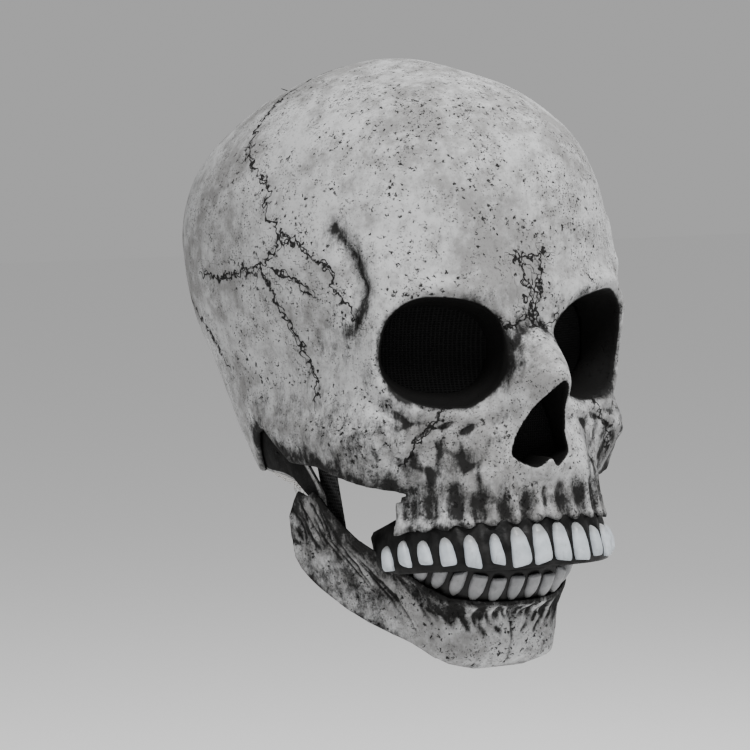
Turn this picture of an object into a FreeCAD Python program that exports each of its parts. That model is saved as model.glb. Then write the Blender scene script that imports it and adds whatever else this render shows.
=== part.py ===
"""Full-head latex skull mask with a moving lower jaw.

Millimetres. +Z is up, the face looks along -Y, the wearer's left is +X.
The origin is the centre of the head opening, level with the rear neck edge.
Paired parts are made for the wearer's left and mirrored in X for the right.
"""

import FreeCAD
import Part

import math
import os

from FreeCAD import Vector

# ---------------------------------------------------------------- driving dimensions
SKIN = 2.6  # latex wall
GLUE_GAP = 0.3  # film of glue, and the clearance between neighbours that only touch
LINED = SKIN + GLUE_GAP  # from the outside to the face of a piece glued to the inside
OUTLINE_POINTS = 40  # points that carry one closed horizontal outline
FAR = 400.0  # longer than anything here, for cutting tools

# Horizontal outlines of the braincase and cheeks, bottom to top:
# height, half width, widest at y, front y, rear y, squareness in front, squareness behind
CRANIUM = [
    (-14, 71, -42, -89, 50, 2.7, 2.0),
    (0, 76, -40, -96, 62, 2.8, 2.0),
    (22, 78.5, -30, -101, 78, 3.0, 2.1),
    (45, 80, -16, -103, 91, 3.0, 2.2),
    (70, 84, -4, -105, 101, 3.1, 2.3),
    (92, 87, 1, -106, 106, 2.6, 2.3),
    (115, 87, 3, -104, 107, 2.4, 2.3),
    (138, 81, 1, -100, 98, 2.3, 2.3),
    (155, 71, -2, -92, 83, 2.3, 2.25),
    (169, 57, -3, -78, 64, 2.25, 2.2),
    (180, 40, -3, -58, 45, 2.15, 2.1),
    (187, 21, 0, -32, 27, 2.0, 2.0),
    (190, 5, 1, -6, 7, 2.0, 2.0),
]
# The upper jaw's outlines, top last: height, half width, front y
MUZZLE_WIDE_Y = -60.0
MUZZLE_SQUARENESS = 2.55
MUZZLE_REAR_Y = -30.0
MUZZLE = [
    (-42, 60.5, -129.0),
    (-28, 59.0, -125.5),
    (-14, 56.5, -120.5),
    (2, 53.5, -117.0),
    (16, 53.0, -114.5),
    (32, 50.0, -108.0),
    (46, 44.0, -96.0),
]
# The nasal bones' outlines, top last: height, half width, front y
NOSE_WIDE_Y = -92.0
NOSE = [
    (0, 21.0, -118.0),
    (16, 21.0, -122.0),
    (36, 19.5, -127.0),
    (52, 17.0, -131.0),
    (66, 14.0, -118.0),
    (80, 12.0, -103.0),
]
# The upper shell's lower edge seen from the side, front to rear: y, z.
# It rises over the cheek to a notch behind the ear, where the hinge web is glued in.
SHELL_EDGE = [
    (-150, -11),
    (-120, -12.5),
    (-100, -16),
    (-86, -18),
    (-79.5, -21),
    (-80, -8),
    (-83, -1),
    (-70, 3),
    (-48, 9),
    (-27, 9),
    (-15, 16),
    (-6, 23),
    (3, 20),
    (13, 1),
    (22, 0),
    (120, 0),
]

EYE_CENTRE = (40.7, -95.6, 62.0)  # on the face
EYE_OUTWARD = 21.6  # degrees that a socket looks outwards
EYE_HALF = (29.0, 23.5)  # half width and half height at the face
EYE_BACK_HALF = (24.0, 19.0)  # the same at the gauze
EYE_SQUARENESS = 2.5
SOCKET_DEPTH = 19.0  # from the face to the gauze
GAUZE = 0.6
GAUZE_MARGIN = 2.2  # how far the gauze reaches over the socket's rim

NOSE_TOP, NOSE_BOTTOM, NOSE_HALF = 50.0, 11.0, 17.0  # pear-shaped nasal opening
NOSE_GAUZE_Y = -103.0

GUM = 3.0  # thickness of the gum strips
TOOTH_REACH = 3.4  # how far a tooth stands out of its gum strip
TOOTH_GAP = 0.15  # film of glue behind a tooth
TOOTH_CLEARANCE = 0.5  # how far the lower teeth stand off the jaw casting
UPPER_GUM_SIDE = [(-150, -7), (-71, -7), (-71, -38), (-84, -35.5), (-100, -34), (-150, -33)]  # y, z
UPPER_PITCH = 11.1  # from tooth to tooth along the arch
UPPER_TEETH = [  # from the midline back: width, root end, biting edge
    (9.4, -14.0, -31.0),
    (9.4, -15.0, -31.7),
    (6.4, -17.6, -30.8),
    (7.4, -17.9, -32.1),
    (7.2, -19.3, -31.5),
    (6.8, -21.3, -31.6),
    (6.4, -22.1, -33.3),
    (6.2, -25.4, -36.4),
]

# The lower jaw's horizontal outlines with the mouth closed, bottom first:
# height, y at the midline, a point of the chin's front (x, y), the chin's corner (x, y),
# then the half width at each of JAW_STATIONS
JAW_STATIONS = (-68.0, -53.0, -38.0, -25.0)
JAW = [
    (-84, -84.0, (14, -83.0), (25, -79.0), (31, 38, 44, 48)),
    (-78, -88.5, (15, -87.0), (29, -82.0), (37, 46, 53, 57)),
    (-68, -90.5, (16, -89.0), (31, -83.5), (41, 50.5, 59, 63)),
    (-58, -94.0, (16.5, -92.0), (31, -84.5), (42.5, 53, 62, 66)),
    (-54, -99.2, (17, -96.4), (32.2, -85.0), (43.5, 54, 63, 67)),
    (-50, -101.0, (17, -98.2), (32.5, -87.6), (45, 55.5, 64.5, 68)),
    (-40, -106.0, (18, -103.0), (36, -91.0), (51, 61, 68.5, 71)),
    (-25, -108.0, (19, -105.0), (39, -93.0), (60, 69, 73, 74.5)),
    (-5, -108.0, (20, -105.0), (41, -94.0), (68, 74, 76.5, 77.5)),
    (4, -108.0, (20, -105.0), (42, -94.0), (69, 75, 77, 78)),
]
JAW_SIDE = [  # the lower jaw's outline seen from the side: y, z
    (-36, -3),
    (-41, -6),
    (-46, -3),
    (-53, -12),
    (-62, -22),
    (-70, -32),
    (-78, -43),
    (-90, -49),
    (-104, -51),
    (-130, -52.5),
    (-130, -85),
    (-87, -84.0),
    (-81, -78.6),
    (-66, -70.2),
    (-53, -63),
    (-40, -52.5),
    (-32.5, -46),
    (-27.5, -37),
    (-27.5, -28),
    (-30, -15),
]
# The lower gum strip's outer face, bottom first: height, half width, front y
LOWER_ARCH = [(-56, 38.0, -95.0), (-32, 47.6, -106.4)]
LOWER_ARCH_WIDE_Y = -50.0
LOWER_ARCH_SQUARENESS = 2.3
LOWER_GUM_SIDE = [(-130, -40), (-92, -39), (-66, -34), (-66, -44), (-84, -52), (-130, -54)]  # y, z
LOWER_PITCH = 9.2
LOWER_TEETH = [  # from the midline back: width, biting edge, root end
    (7.6, -39.3, -51.2),
    (7.6, -39.9, -51.8),
    (7.8, -38.2, -51.0),
    (7.4, -36.8, -48.4),
    (7.2, -36.0, -45.4),
    (7.0, -35.6, -42.8),
]

WEB = 1.6  # thickness of the latex hinge web
WEB_EDGE = [  # the web's outline seen from the side: y, z
    (17, 2),
    (15, 10),
    (7, 27),
    (-7, 29),
    (-18, 22),
    (-31, 15),
    (-40, 6),
    (-46, -3),
    (-44, -10),
    (-37, -9),
    (-31, -2),
    (-14, 2),
]
WEB_GAUZE = 0.5
WEB_GAUZE_EDGE = [(12, 5), (-14, 6), (-30, 2), (-40, -8), (-36, -11.5), (-28, -4), (-12, -1.5), (12, 0.5)]

ELASTIC_WIDTH, ELASTIC_THICK = 14.0, 1.2
ELASTIC_Y = -43.0
ELASTIC_TOP, ELASTIC_BOTTOM = (72.0, 30.0), (59.0, -34.0)  # x, z of its ends
TAB_HEIGHT = 14.0  # latex tab that holds each end of an elastic

PAD = 10.0  # foam thickness
CROWN_PAD_RADIUS, CROWN_PAD_BOTTOM = 46.0, 150.0
BROW_PAD = (52.0, 102.0, 130.0)  # half width, lower edge, upper edge
CHIN_PAD = (24.0, -71.0, -58.0)


# ---------------------------------------------------------------- outlines and lofts
def closed_curve(points):
    """A smooth closed wire through the points."""
    curve = Part.BSplineCurve()
    curve.interpolate(Points=points, PeriodicFlag=True)
    return Part.Wire([curve.toShape()])


def superellipse(u_half, v_half, squareness, count=OUTLINE_POINTS):
    """Points (u, v) round a superellipse, starting at (0, -v_half)."""
    made = []
    for i in range(count):
        a = 2 * math.pi * i / count
        s, c = math.sin(a), -math.cos(a)
        u = math.copysign(abs(s) ** (2 / squareness), s) * u_half
        v = math.copysign(abs(c) ** (2 / squareness), c) * v_half
        made.append((u, v))
    return made


def outline(z, half_width, wide_y, front_y, rear_y, n_front, n_rear, inset=0.0):
    """A horizontal outline: one superellipse ahead of its widest line and another behind it."""
    front = superellipse(half_width - inset, wide_y - front_y - inset, n_front)
    rear = superellipse(half_width - inset, rear_y - wide_y - inset, n_rear)
    points = []
    for ahead, behind in zip(front, rear):
        u, v = ahead if ahead[1] <= 0 else behind
        points.append(Vector(u, wide_y + v, z))
    return closed_curve(points)


def loft(wires, ruled=False):
    return Part.makeLoft(wires, True, ruled)


def cranium(inset=0.0):
    """The braincase and cheeks as one solid, shrunk by inset, its crown lowered as much."""
    top = CRANIUM[-1][0]
    rows = [(z - inset * max(0.0, z / top) ** 2, *row) for z, *row in CRANIUM]
    kept = [r for r in rows if r[1] > inset + 2.0]
    return loft([outline(*r, inset=inset) for r in kept])


def muzzle(inset=0.0):
    rows = [(z, b, MUZZLE_WIDE_Y, y, MUZZLE_REAR_Y, MUZZLE_SQUARENESS, 4.0) for z, b, y in MUZZLE]
    return loft([outline(*r, inset=inset) for r in rows])


def nose(inset=0.0):
    rows = [(z, b, NOSE_WIDE_Y, y, NOSE_WIDE_Y + b, 1.8, 2.0) for z, b, y in NOSE]
    return loft([outline(*r, inset=inset) for r in rows])


def jaw_block(inset=0.0):
    """The lower jaw's outside as a filled block, shrunk by inset, its underside raised as much."""
    wires = []
    for z, front_y, front, corner, halves in JAW:
        side = [front, corner, *zip(halves, JAW_STATIONS)]
        rear = [(halves[-1] * 0.7, 0.0)]
        half = side + rear
        ring = [(0.0, front_y), *half, (0.0, 10.0), *[(-x, y) for x, y in reversed(half)]]
        lifted = z + inset * (z / JAW[0][0]) ** 6
        wires.append(closed_curve([Vector(x, y, lifted) for x, y in shrunk(ring, inset)]))
    return loft(wires, ruled=True)


def shrunk(ring, inset):
    """The points of a closed ring that runs anticlockwise from above, moved inwards by inset."""
    moved = []
    for i, (x, y) in enumerate(ring):
        before, after = ring[i - 1], ring[(i + 1) % len(ring)]
        along = Vector(after[0] - before[0], after[1] - before[1], 0).normalize()
        moved.append((x - along.y * inset, y + along.x * inset))
    return moved


def side_prism(points):
    """The area inside points (y, z), carried right through along X."""
    wire = Part.makePolygon([Vector(-FAR / 2, y, z) for y, z in points + points[:1]])
    return Part.Face(wire).extrude(Vector(FAR, 0, 0))


def beyond(edge, z):
    """Everything between an edge line that runs along Y and the level z."""
    return side_prism(edge + [(edge[-1][0], z), (edge[0][0], z)])


def box(x, y, z):
    """A box from three (low, high) pairs."""
    return Part.makeBox(x[1] - x[0], y[1] - y[0], z[1] - z[0], Vector(x[0], y[0], z[0]))


def mirrored(shape):
    return shape.mirror(Vector(0, 0, 0), Vector(1, 0, 0))


# ---------------------------------------------------------------- upper shell
def eye_frustum(side, grow, start, end):
    """A tapered socket shape round the eye's axis, between two depths behind the face."""
    turn = math.radians(EYE_OUTWARD) * side
    out = Vector(math.sin(turn), -math.cos(turn), 0)
    across = Vector(math.cos(turn), math.sin(turn), 0)
    centre = Vector(EYE_CENTRE[0] * side, EYE_CENTRE[1], EYE_CENTRE[2])
    wires = []
    for depth in (start, end):
        half_u, half_v = (
            face + (back - face) * depth / SOCKET_DEPTH + grow
            for face, back in zip(EYE_HALF, EYE_BACK_HALF)
        )
        ring = superellipse(half_u, half_v, EYE_SQUARENESS, 24)
        wires.append(
            closed_curve([centre - out * depth + across * u + Vector(0, 0, v) for u, v in ring])
        )
    return loft(wires)


def pear(grow, y_front, y_back):
    """The nasal opening as a prism along Y."""
    top, bottom, half = NOSE_TOP + grow, NOSE_BOTTOM - grow, NOSE_HALF + grow
    low = bottom + half * 0.9
    right = [
        Vector(0, y_front, top),
        Vector(half * 0.42, y_front, top - (top - low) * 0.3),
        Vector(half * 0.78, y_front, top - (top - low) * 0.62),
        Vector(half, y_front, low),
        Vector(half * 0.62, y_front, bottom + 1.5),
        Vector(0, y_front, bottom + 3.0),
    ]
    left = [Vector(-p.x, p.y, p.z) for p in reversed(right[1:-1])]
    return Part.Face(closed_curve(right + left)).extrude(Vector(0, y_back - y_front, 0))


def skull_shell():
    """The upper casting: an even wall with socket walls turned in at the eyes and nose."""
    outside = cranium().fuse([muzzle(), nose()])
    inside = cranium(SKIN).fuse([muzzle(SKIN), nose(SKIN)])
    sockets = [eye_frustum(s, SKIN, -30, SOCKET_DEPTH) for s in (-1, 1)]
    sockets.append(pear(SKIN, -FAR / 2, NOSE_GAUZE_Y))
    walls = outside.common(Part.makeCompound(sockets))
    holes = [eye_frustum(s, 0, -30, SOCKET_DEPTH + 1) for s in (-1, 1)]
    holes.append(pear(0, -FAR / 2, NOSE_GAUZE_Y + 1))
    shell = outside.cut(inside).fuse(walls)
    return shell.cut([*holes, beyond(SHELL_EDGE, -FAR)])


def eye_gauze(side):
    return eye_frustum(side, GAUZE_MARGIN, SOCKET_DEPTH + 0.05, SOCKET_DEPTH + GAUZE)


def nose_gauze():
    return pear(GAUZE_MARGIN, NOSE_GAUZE_Y + 0.05, NOSE_GAUZE_Y + GAUZE)


# ---------------------------------------------------------------- gums and teeth
def arch_spots(half_width, wide_y, front_y, squareness, pitch, count):
    """Tooth places along one side of an arch: a point on it and the outward direction."""
    steps = 2000
    depth = wide_y - front_y
    walked, spots, last = 0.0, [], (0.0, front_y)
    for i in range(1, steps + 1):
        a = math.pi / 2 * i / steps
        x = half_width * math.sin(a) ** (2 / squareness)
        y = wide_y - depth * math.cos(a) ** (2 / squareness)
        walked += math.dist((x, y), last)
        if len(spots) < count and walked >= pitch * (len(spots) + 0.5):
            along = Vector(x - last[0], y - last[1], 0).normalize()
            spots.append((Vector(x, y, 0), Vector(-along.y, along.x, 0) * -1))
        last = (x, y)
    return spots


def arch_size(rows, z):
    """The half width and front y of an arch's outline at a height."""
    for low, high in zip(rows, rows[1:]):
        if low[0] <= z <= high[0]:
            share = (z - low[0]) / (high[0] - low[0])
            return tuple(a + (b - a) * share for a, b in zip(low[1:], high[1:]))
    raise ValueError("height outside the arch")


def tooth(root, edge, outward, width, seat):
    """One tooth: rounded at the root, widest near the biting edge, cut back by the solids it sits on."""
    across = Vector(-outward.y, outward.x, 0)
    wires = []
    # share of the height from the root, share of the width, share of the reach
    for up, wide, deep in ((0, 0.34, 0.45), (0.2, 0.72, 0.85), (0.6, 0.96, 1.0), (0.9, 1, 0.9), (1, 0.86, 0.7)):
        half_u, half_v = width / 2 * wide, TOOTH_REACH * deep
        ring = superellipse(half_u, half_v, 2.6, 16)
        middle = root + (edge - root) * up
        wires.append(closed_curve([middle + across * u + outward * v for u, v in ring]))
    return loft(wires).cut(seat)


def upper_gum():
    return muzzle(LINED).cut(muzzle(LINED + GUM)).common(side_prism(UPPER_GUM_SIDE))


def lower_arch(inset=0.0):
    rows = [(z, b, LOWER_ARCH_WIDE_Y, y, 10.0, LOWER_ARCH_SQUARENESS, 3.0) for z, b, y in LOWER_ARCH]
    return loft([outline(*r, inset=inset) for r in rows])


def lower_gum():
    return lower_arch().cut(lower_arch(GUM)).common(side_prism(LOWER_GUM_SIDE))


def tooth_row(rows, wide_y, squareness, inset, pitch, teeth, seat):
    """The teeth of one side, each standing on its arch at its own height and lean."""
    made = []
    for n, (width, *ends) in enumerate(teeth):
        found = []
        for z in ends:
            half, front = arch_size(rows, z)
            places = arch_spots(half - inset, wide_y, front + inset, squareness, pitch, len(teeth))
            found.append((places[n][0] + Vector(0, 0, z), places[n][1]))
        made.append(tooth(found[0][0], found[1][0], found[1][1], width, seat))
    return made


def upper_teeth():
    seat = [muzzle(LINED - TOOTH_GAP)]
    return tooth_row(MUZZLE, MUZZLE_WIDE_Y, MUZZLE_SQUARENESS, LINED, UPPER_PITCH, UPPER_TEETH, seat)


def lower_teeth():
    seat = [lower_arch(-TOOTH_GAP), jaw_shell(TOOTH_CLEARANCE)]
    teeth = [(width, root_z, edge_z) for width, edge_z, root_z in LOWER_TEETH]
    return tooth_row(LOWER_ARCH, LOWER_ARCH_WIDE_Y, LOWER_ARCH_SQUARENESS, 0.0, LOWER_PITCH, teeth, seat)


# ---------------------------------------------------------------- lower jaw and its hinge
def jaw_shell(extra=0.0):
    """The lower casting: a wall round the chin and up both sides, open above and behind."""
    return jaw_block(-extra).cut(jaw_block(SKIN + extra)).common(side_prism(JAW_SIDE))


def hinge_web():
    sheet = cranium(LINED).cut(cranium(LINED + WEB))
    return left_of(sheet.common(side_prism(WEB_EDGE)))


def web_gauze():
    start = LINED + WEB + 0.1
    sheet = cranium(start).cut(cranium(start + WEB_GAUZE))
    return left_of(sheet.common(side_prism(WEB_GAUZE_EDGE)))


def left_of(shape):
    return shape.common(box((0, FAR), (-FAR, FAR), (-FAR, FAR)))


def elastic_slab(out, inn):
    """A slab along the elastic's slope, from out to inn millimetres either side of its middle."""
    (x1, z1), (x0, z0) = ELASTIC_TOP, ELASTIC_BOTTOM
    y = ELASTIC_Y - ELASTIC_WIDTH / 2
    corners = [(x0 - inn, z0), (x1 - inn, z1), (x1 + out, z1), (x0 + out, z0)]
    wire = Part.makePolygon([Vector(x, y, z) for x, z in corners + corners[:1]])
    return Part.Face(wire).extrude(Vector(0, ELASTIC_WIDTH, 0))


def jaw_elastic():
    return elastic_slab(ELASTIC_THICK / 2, ELASTIC_THICK / 2)


def elastic_tab(block, low, high):
    """The latex tab between an elastic's end and the wall outside it."""
    y = (ELASTIC_Y - ELASTIC_WIDTH / 2, ELASTIC_Y + ELASTIC_WIDTH / 2)
    beyond_elastic = elastic_slab(FAR / 4, -(ELASTIC_THICK / 2 + 0.1))
    return block.common(box((0, FAR), y, (low, high))).common(beyond_elastic)


# ---------------------------------------------------------------- foam pads
def lining(block):
    """A layer of foam on the inside of a block's wall."""
    return block(LINED).cut(block(LINED + PAD))


def crown_pad():
    column = Part.makeCylinder(CROWN_PAD_RADIUS, FAR, Vector(0, 0, CROWN_PAD_BOTTOM))
    return lining(cranium).common(column)


def brow_pad():
    half, low, high = BROW_PAD
    return lining(cranium).common(box((-half, half), (-FAR, -40), (low, high)))


def chin_pad():
    half, low, high = CHIN_PAD
    return lining(jaw_block).common(box((-half, half), (-FAR, -60), (low, high)))


# ---------------------------------------------------------------- the whole mask
def pair(name, shape):
    """A left and a right part."""
    return {f"{name}_left": shape, f"{name}_right": mirrored(shape)}


def assembly():
    parts = {"skull_shell": skull_shell(), "jaw_shell": jaw_shell()}
    parts.update(pair("eye_gauze", eye_gauze(1)))
    parts["nose_gauze"] = nose_gauze()
    parts["upper_gum"] = upper_gum()
    parts["lower_gum"] = lower_gum()
    for row, teeth in (("upper", upper_teeth()), ("lower", lower_teeth())):
        for n, shape in enumerate(teeth, 1):
            parts[f"{row}_tooth_left_{n}"] = shape
            parts[f"{row}_tooth_right_{n}"] = mirrored(shape)
    parts.update(pair("hinge_web", hinge_web()))
    parts.update(pair("web_gauze", web_gauze()))
    parts.update(pair("jaw_elastic", jaw_elastic()))
    top, bottom = ELASTIC_TOP[1], ELASTIC_BOTTOM[1]
    upper_tab = elastic_tab(cranium(LINED), top - TAB_HEIGHT, top)
    lower_tab = elastic_tab(jaw_block(LINED), bottom, bottom + TAB_HEIGHT)
    parts.update(pair("upper_elastic_tab", upper_tab))
    parts.update(pair("lower_elastic_tab", lower_tab))
    parts["crown_pad"] = crown_pad()
    parts["brow_pad"] = brow_pad()
    parts["chin_pad"] = chin_pad()
    return parts


os.makedirs("parts", exist_ok=True)
for name, shape in assembly().items():
    solids = shape.Solids
    Part.makeCompound(solids).exportStep(f"parts/{name}.step")
    print(name, len(solids), "solid,", round(sum(s.Volume for s in solids)), "mm3, valid", shape.isValid())
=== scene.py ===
import math
import bpy
import mathutils
import numpy as np
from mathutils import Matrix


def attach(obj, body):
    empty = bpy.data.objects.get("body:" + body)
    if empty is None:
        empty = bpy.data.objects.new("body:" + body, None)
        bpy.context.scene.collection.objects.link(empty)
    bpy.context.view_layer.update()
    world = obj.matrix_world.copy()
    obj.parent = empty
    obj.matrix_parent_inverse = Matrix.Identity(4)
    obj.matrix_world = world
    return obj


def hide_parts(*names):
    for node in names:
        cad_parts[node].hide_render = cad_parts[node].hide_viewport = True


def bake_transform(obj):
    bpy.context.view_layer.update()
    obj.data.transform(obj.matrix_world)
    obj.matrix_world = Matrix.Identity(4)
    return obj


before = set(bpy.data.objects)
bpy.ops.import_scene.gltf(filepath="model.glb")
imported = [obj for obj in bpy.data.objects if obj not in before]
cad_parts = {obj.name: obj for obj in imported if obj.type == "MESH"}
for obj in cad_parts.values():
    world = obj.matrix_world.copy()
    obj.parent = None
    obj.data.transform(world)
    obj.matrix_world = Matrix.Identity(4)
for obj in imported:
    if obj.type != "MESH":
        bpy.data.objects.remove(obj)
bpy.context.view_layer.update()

MM = 0.001
SIDES = ((1, "left"), (-1, "right"))


# ---------------- helpers
def smooth_rows(rows, z):
    """Columns of a table interpolated smoothly in its first column."""
    rows = np.array(rows, float)
    keys, values = rows[:, 0], rows[:, 1:]
    slope = np.gradient(values, keys, axis=0)
    at = np.clip(z, keys[0], keys[-1])
    i = np.clip(np.searchsorted(keys, at) - 1, 0, len(keys) - 2)
    gap = keys[i + 1] - keys[i]
    t = ((at - keys[i]) / gap)[:, None]
    gap = gap[:, None]
    return ((2 * t**3 - 3 * t**2 + 1) * values[i] + (t**3 - 2 * t**2 + t) * (slope[i] * gap)
            + (3 * t**2 - 2 * t**3) * values[i + 1] + (t**3 - t**2) * (slope[i + 1] * gap))


def smin(a, b, k):
    """The lower of two fields, rounded over about k where they cross."""
    h = np.clip(0.5 + 0.5 * (b - a) / k, 0, 1)
    return b + (a - b) * h - k * h * (1 - h)


def smax(a, b, k):
    """The higher of two fields, rounded over about k where they cross."""
    return -smin(-a, -b, k)


def step01(a, b, v):
    """0 at a, 1 at b and a smooth change between them."""
    t = np.clip((v - a) / (b - a), 0, 1)
    return t * t * (3 - 2 * t)


def soft_spot(x, y, z, centre, spread):
    """1 at the centre, fading over the spread along each axis."""
    return np.exp(-((x - centre[0]) / spread[0]) ** 2 - ((y - centre[1]) / spread[1]) ** 2
                  - ((z - centre[2]) / spread[2]) ** 2)


def wobble(p, size, seed):
    """Smooth noise in about -1..1 at points p (n, 3), features about size mm across."""
    rng = np.random.default_rng(seed)
    out = np.zeros(len(p))
    for _ in range(10):
        d = rng.normal(size=3)
        d *= (0.7 + 0.8 * rng.random()) * 2 * math.pi / size / np.linalg.norm(d) / 1.6
        out += np.sin(p @ d + rng.random() * 6.28)
    return out / 4.5


def make_mesh(name, verts, faces):
    """A smooth-shaded object from points in mm and faces."""
    mesh = bpy.data.meshes.new(name)
    if isinstance(faces, np.ndarray):
        faces = faces.tolist()
    mesh.from_pydata((np.asarray(verts) * MM).tolist(), [], faces)
    mesh.update()
    mesh.polygons.foreach_set("use_smooth", [True] * len(mesh.polygons))
    ob = bpy.data.objects.new(name, mesh)
    bpy.context.scene.collection.objects.link(ob)
    return ob


def set_attr(ob, name, values):
    attribute = ob.data.attributes.new(name, "FLOAT", "POINT")
    attribute.data.foreach_set("value", np.asarray(values, np.float32))


def grid_points(nu, nv, u0, u1, v0, v1):
    """The two coordinates of a grid of nu by nv points, v running fastest."""
    return np.repeat(np.linspace(u0, u1, nu), nv), np.tile(np.linspace(v0, v1, nv), nu)


def grid_faces(nu, nv, offset=0, flip=False, wrap=False):
    """Quads of a grid of nu by nv points, joined round in u where wrap is true."""
    i, j = np.meshgrid(np.arange(nu - (0 if wrap else 1)), np.arange(nv - 1), indexing="ij")
    a = i * nv + j
    b = ((i + 1) % nu) * nv + j
    quads = np.stack([a, b, b + 1, a + 1], -1).reshape(-1, 4) + offset
    return quads[:, ::-1] if flip else quads


def tube_faces(rings, around):
    """Quads of a tube: rings of points one after the other, each joined round."""
    tube = np.arange(rings * around).reshape(rings, around)
    after = np.roll(tube, -1, axis=1)
    return np.stack([tube[:-1], after[:-1], after[1:], tube[1:]], -1).reshape(-1, 4)


def grid_normals(points, nu, nv):
    """Unit normals of a grid of nu by nv points."""
    g = points.reshape(nu, nv, 3)
    n = np.cross(np.gradient(g, axis=0), np.gradient(g, axis=1)).reshape(-1, 3)
    return n / np.maximum(np.linalg.norm(n, axis=1), 1e-9)[:, None]


def shell_patch(name, outer_points, inner_points, nu, nv):
    """A wall between two grids of points, closed all round its border."""
    n = nu * nv
    ring = [(i, 0) for i in range(nu)] + [(nu - 1, j) for j in range(1, nv)]
    ring += [(i, nv - 1) for i in range(nu - 2, -1, -1)] + [(0, j) for j in range(nv - 2, 0, -1)]
    ids = np.array([i * nv + j for i, j in ring])
    after = np.roll(ids, -1)
    border = np.stack([after, ids, ids + n, after + n], -1)
    faces = [grid_faces(nu, nv), grid_faces(nu, nv, n, flip=True), border]
    return make_mesh(name, np.vstack([outer_points, inner_points]), np.concatenate(faces))


def surface_nets(field, low, cell_size):
    """A quad mesh of a field's zero surface, with one vertex in each cell that the surface crosses."""
    inside = field < 0
    n = field.shape
    corners = np.array([(i, j, k) for i in (0, 1) for j in (0, 1) for k in (0, 1)])
    filled = np.zeros(np.subtract(n, 1), np.uint8)
    for i, j, k in corners:
        filled += inside[i:n[0] - 1 + i, j:n[1] - 1 + j, k:n[2] - 1 + k]
    active = (filled > 0) & (filled < 8)
    cells = np.argwhere(active)
    index = np.full(active.shape, -1, np.int32)
    index[active] = np.arange(len(cells))
    at = cells[:, None, :] + corners
    values = field[at[..., 0], at[..., 1], at[..., 2]]
    total = np.zeros((len(cells), 3))
    count = np.zeros(len(cells))
    for a in range(8):
        for b in range(a + 1, 8):
            if np.abs(corners[a] - corners[b]).sum() != 1:
                continue
            va, vb = values[:, a], values[:, b]
            crossed = (va < 0) != (vb < 0)
            t = np.where(crossed, va / np.where(crossed, va - vb, 1), 0)
            total += (corners[a] + (corners[b] - corners[a]) * t[:, None]) * crossed[:, None]
            count += crossed
    verts = np.array(low) + cell_size * (cells + total / count[:, None])
    quads = []
    for axis in range(3):
        u, v = (axis + 1) % 3, (axis + 2) % 3
        before, after = [slice(1, -1)] * 3, [slice(1, -1)] * 3
        before[axis], after[axis] = slice(0, -1), slice(1, None)
        step = np.ones(3, int)
        step[axis] = 0
        points = np.argwhere(inside[tuple(before)] != inside[tuple(after)]) + step
        starts_inside = inside[points[:, 0], points[:, 1], points[:, 2]]
        ring = []
        for du, dv in ((-1, -1), (0, -1), (0, 0), (-1, 0)):
            q = points.copy()
            q[:, u] += du
            q[:, v] += dv
            ring.append(index[q[:, 0], q[:, 1], q[:, 2]])
        ring = np.stack(ring, 1)
        ring[~starts_inside] = ring[~starts_inside][:, ::-1]
        quads.append(ring)
    return verts, np.concatenate(quads)


def segment_distance(y, z, start, end, shift=0.0):
    """Distance in the (y, z) plane from a segment that is moved by shift along y."""
    ey, ez = end[0] - start[0], end[1] - start[1]
    t = np.clip(((y - start[0]) * ey + (z - start[1]) * ez) / (ey * ey + ez * ez), 0, 1)
    return np.hypot(y - start[0] - t * ey - shift, z - start[1] - t * ez)


def polygon_distance(points, y, z):
    """Signed distance in the (y, z) plane on grids y, z: negative inside."""
    p = np.array(points, float)
    best = np.full(y.shape, 1e9)
    inside = np.zeros(y.shape, bool)
    for start, end in zip(p, np.roll(p, -1, axis=0)):
        best = np.minimum(best, segment_distance(y, z, start, end))
        rise = end[1] - start[1]
        crossed = (start[1] > z) != (end[1] > z)
        inside ^= crossed & (y < start[0] + (z - start[1]) * (end[0] - start[0]) / (rise if rise else 1e-9))
    return np.where(inside, -best, best)


def line_distance(points, line):
    """Distance from points (n, k) to a polyline in the same k dimensions."""
    best = np.full(len(points), 1e9)
    line = np.array(line, float)
    for a, b in zip(line, line[1:]):
        e = b - a
        t = np.clip(((points - a) @ e) / (e @ e), 0, 1)
        best = np.minimum(best, np.linalg.norm(points - a - t[:, None] * e, axis=1))
    return best


def spline(a, b, c, d, f):
    """Points between b and c, at the share f of the way, on a Catmull-Rom curve."""
    return 0.5 * (2 * b + (c - a) * f + (2 * a - 5 * b + 4 * c - d) * f**2 + (3 * b - a - 3 * c + d) * f**3)


def smooth_path(points, count):
    """A smooth path of count points through the given ones."""
    p = np.array(points, float)
    p = np.vstack([2 * p[0] - p[1], p, 2 * p[-1] - p[-2]])
    t = np.linspace(0, len(p) - 3 - 1e-9, count)
    i = t.astype(int)
    return spline(p[i], p[i + 1], p[i + 2], p[i + 3], (t - i)[:, None])


def place(ob, body, node):
    """Makes a piece ride on a body and stand for a CAD node."""
    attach(ob, body)
    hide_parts(node)


# ---------------- sizes shared with the CAD model, mm
SKIN = 2.6       # wall of the castings
LINED = 2.9      # from the outer skin to what is glued inside it
CROWN = 190.6    # height at which the braincase closes
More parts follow.
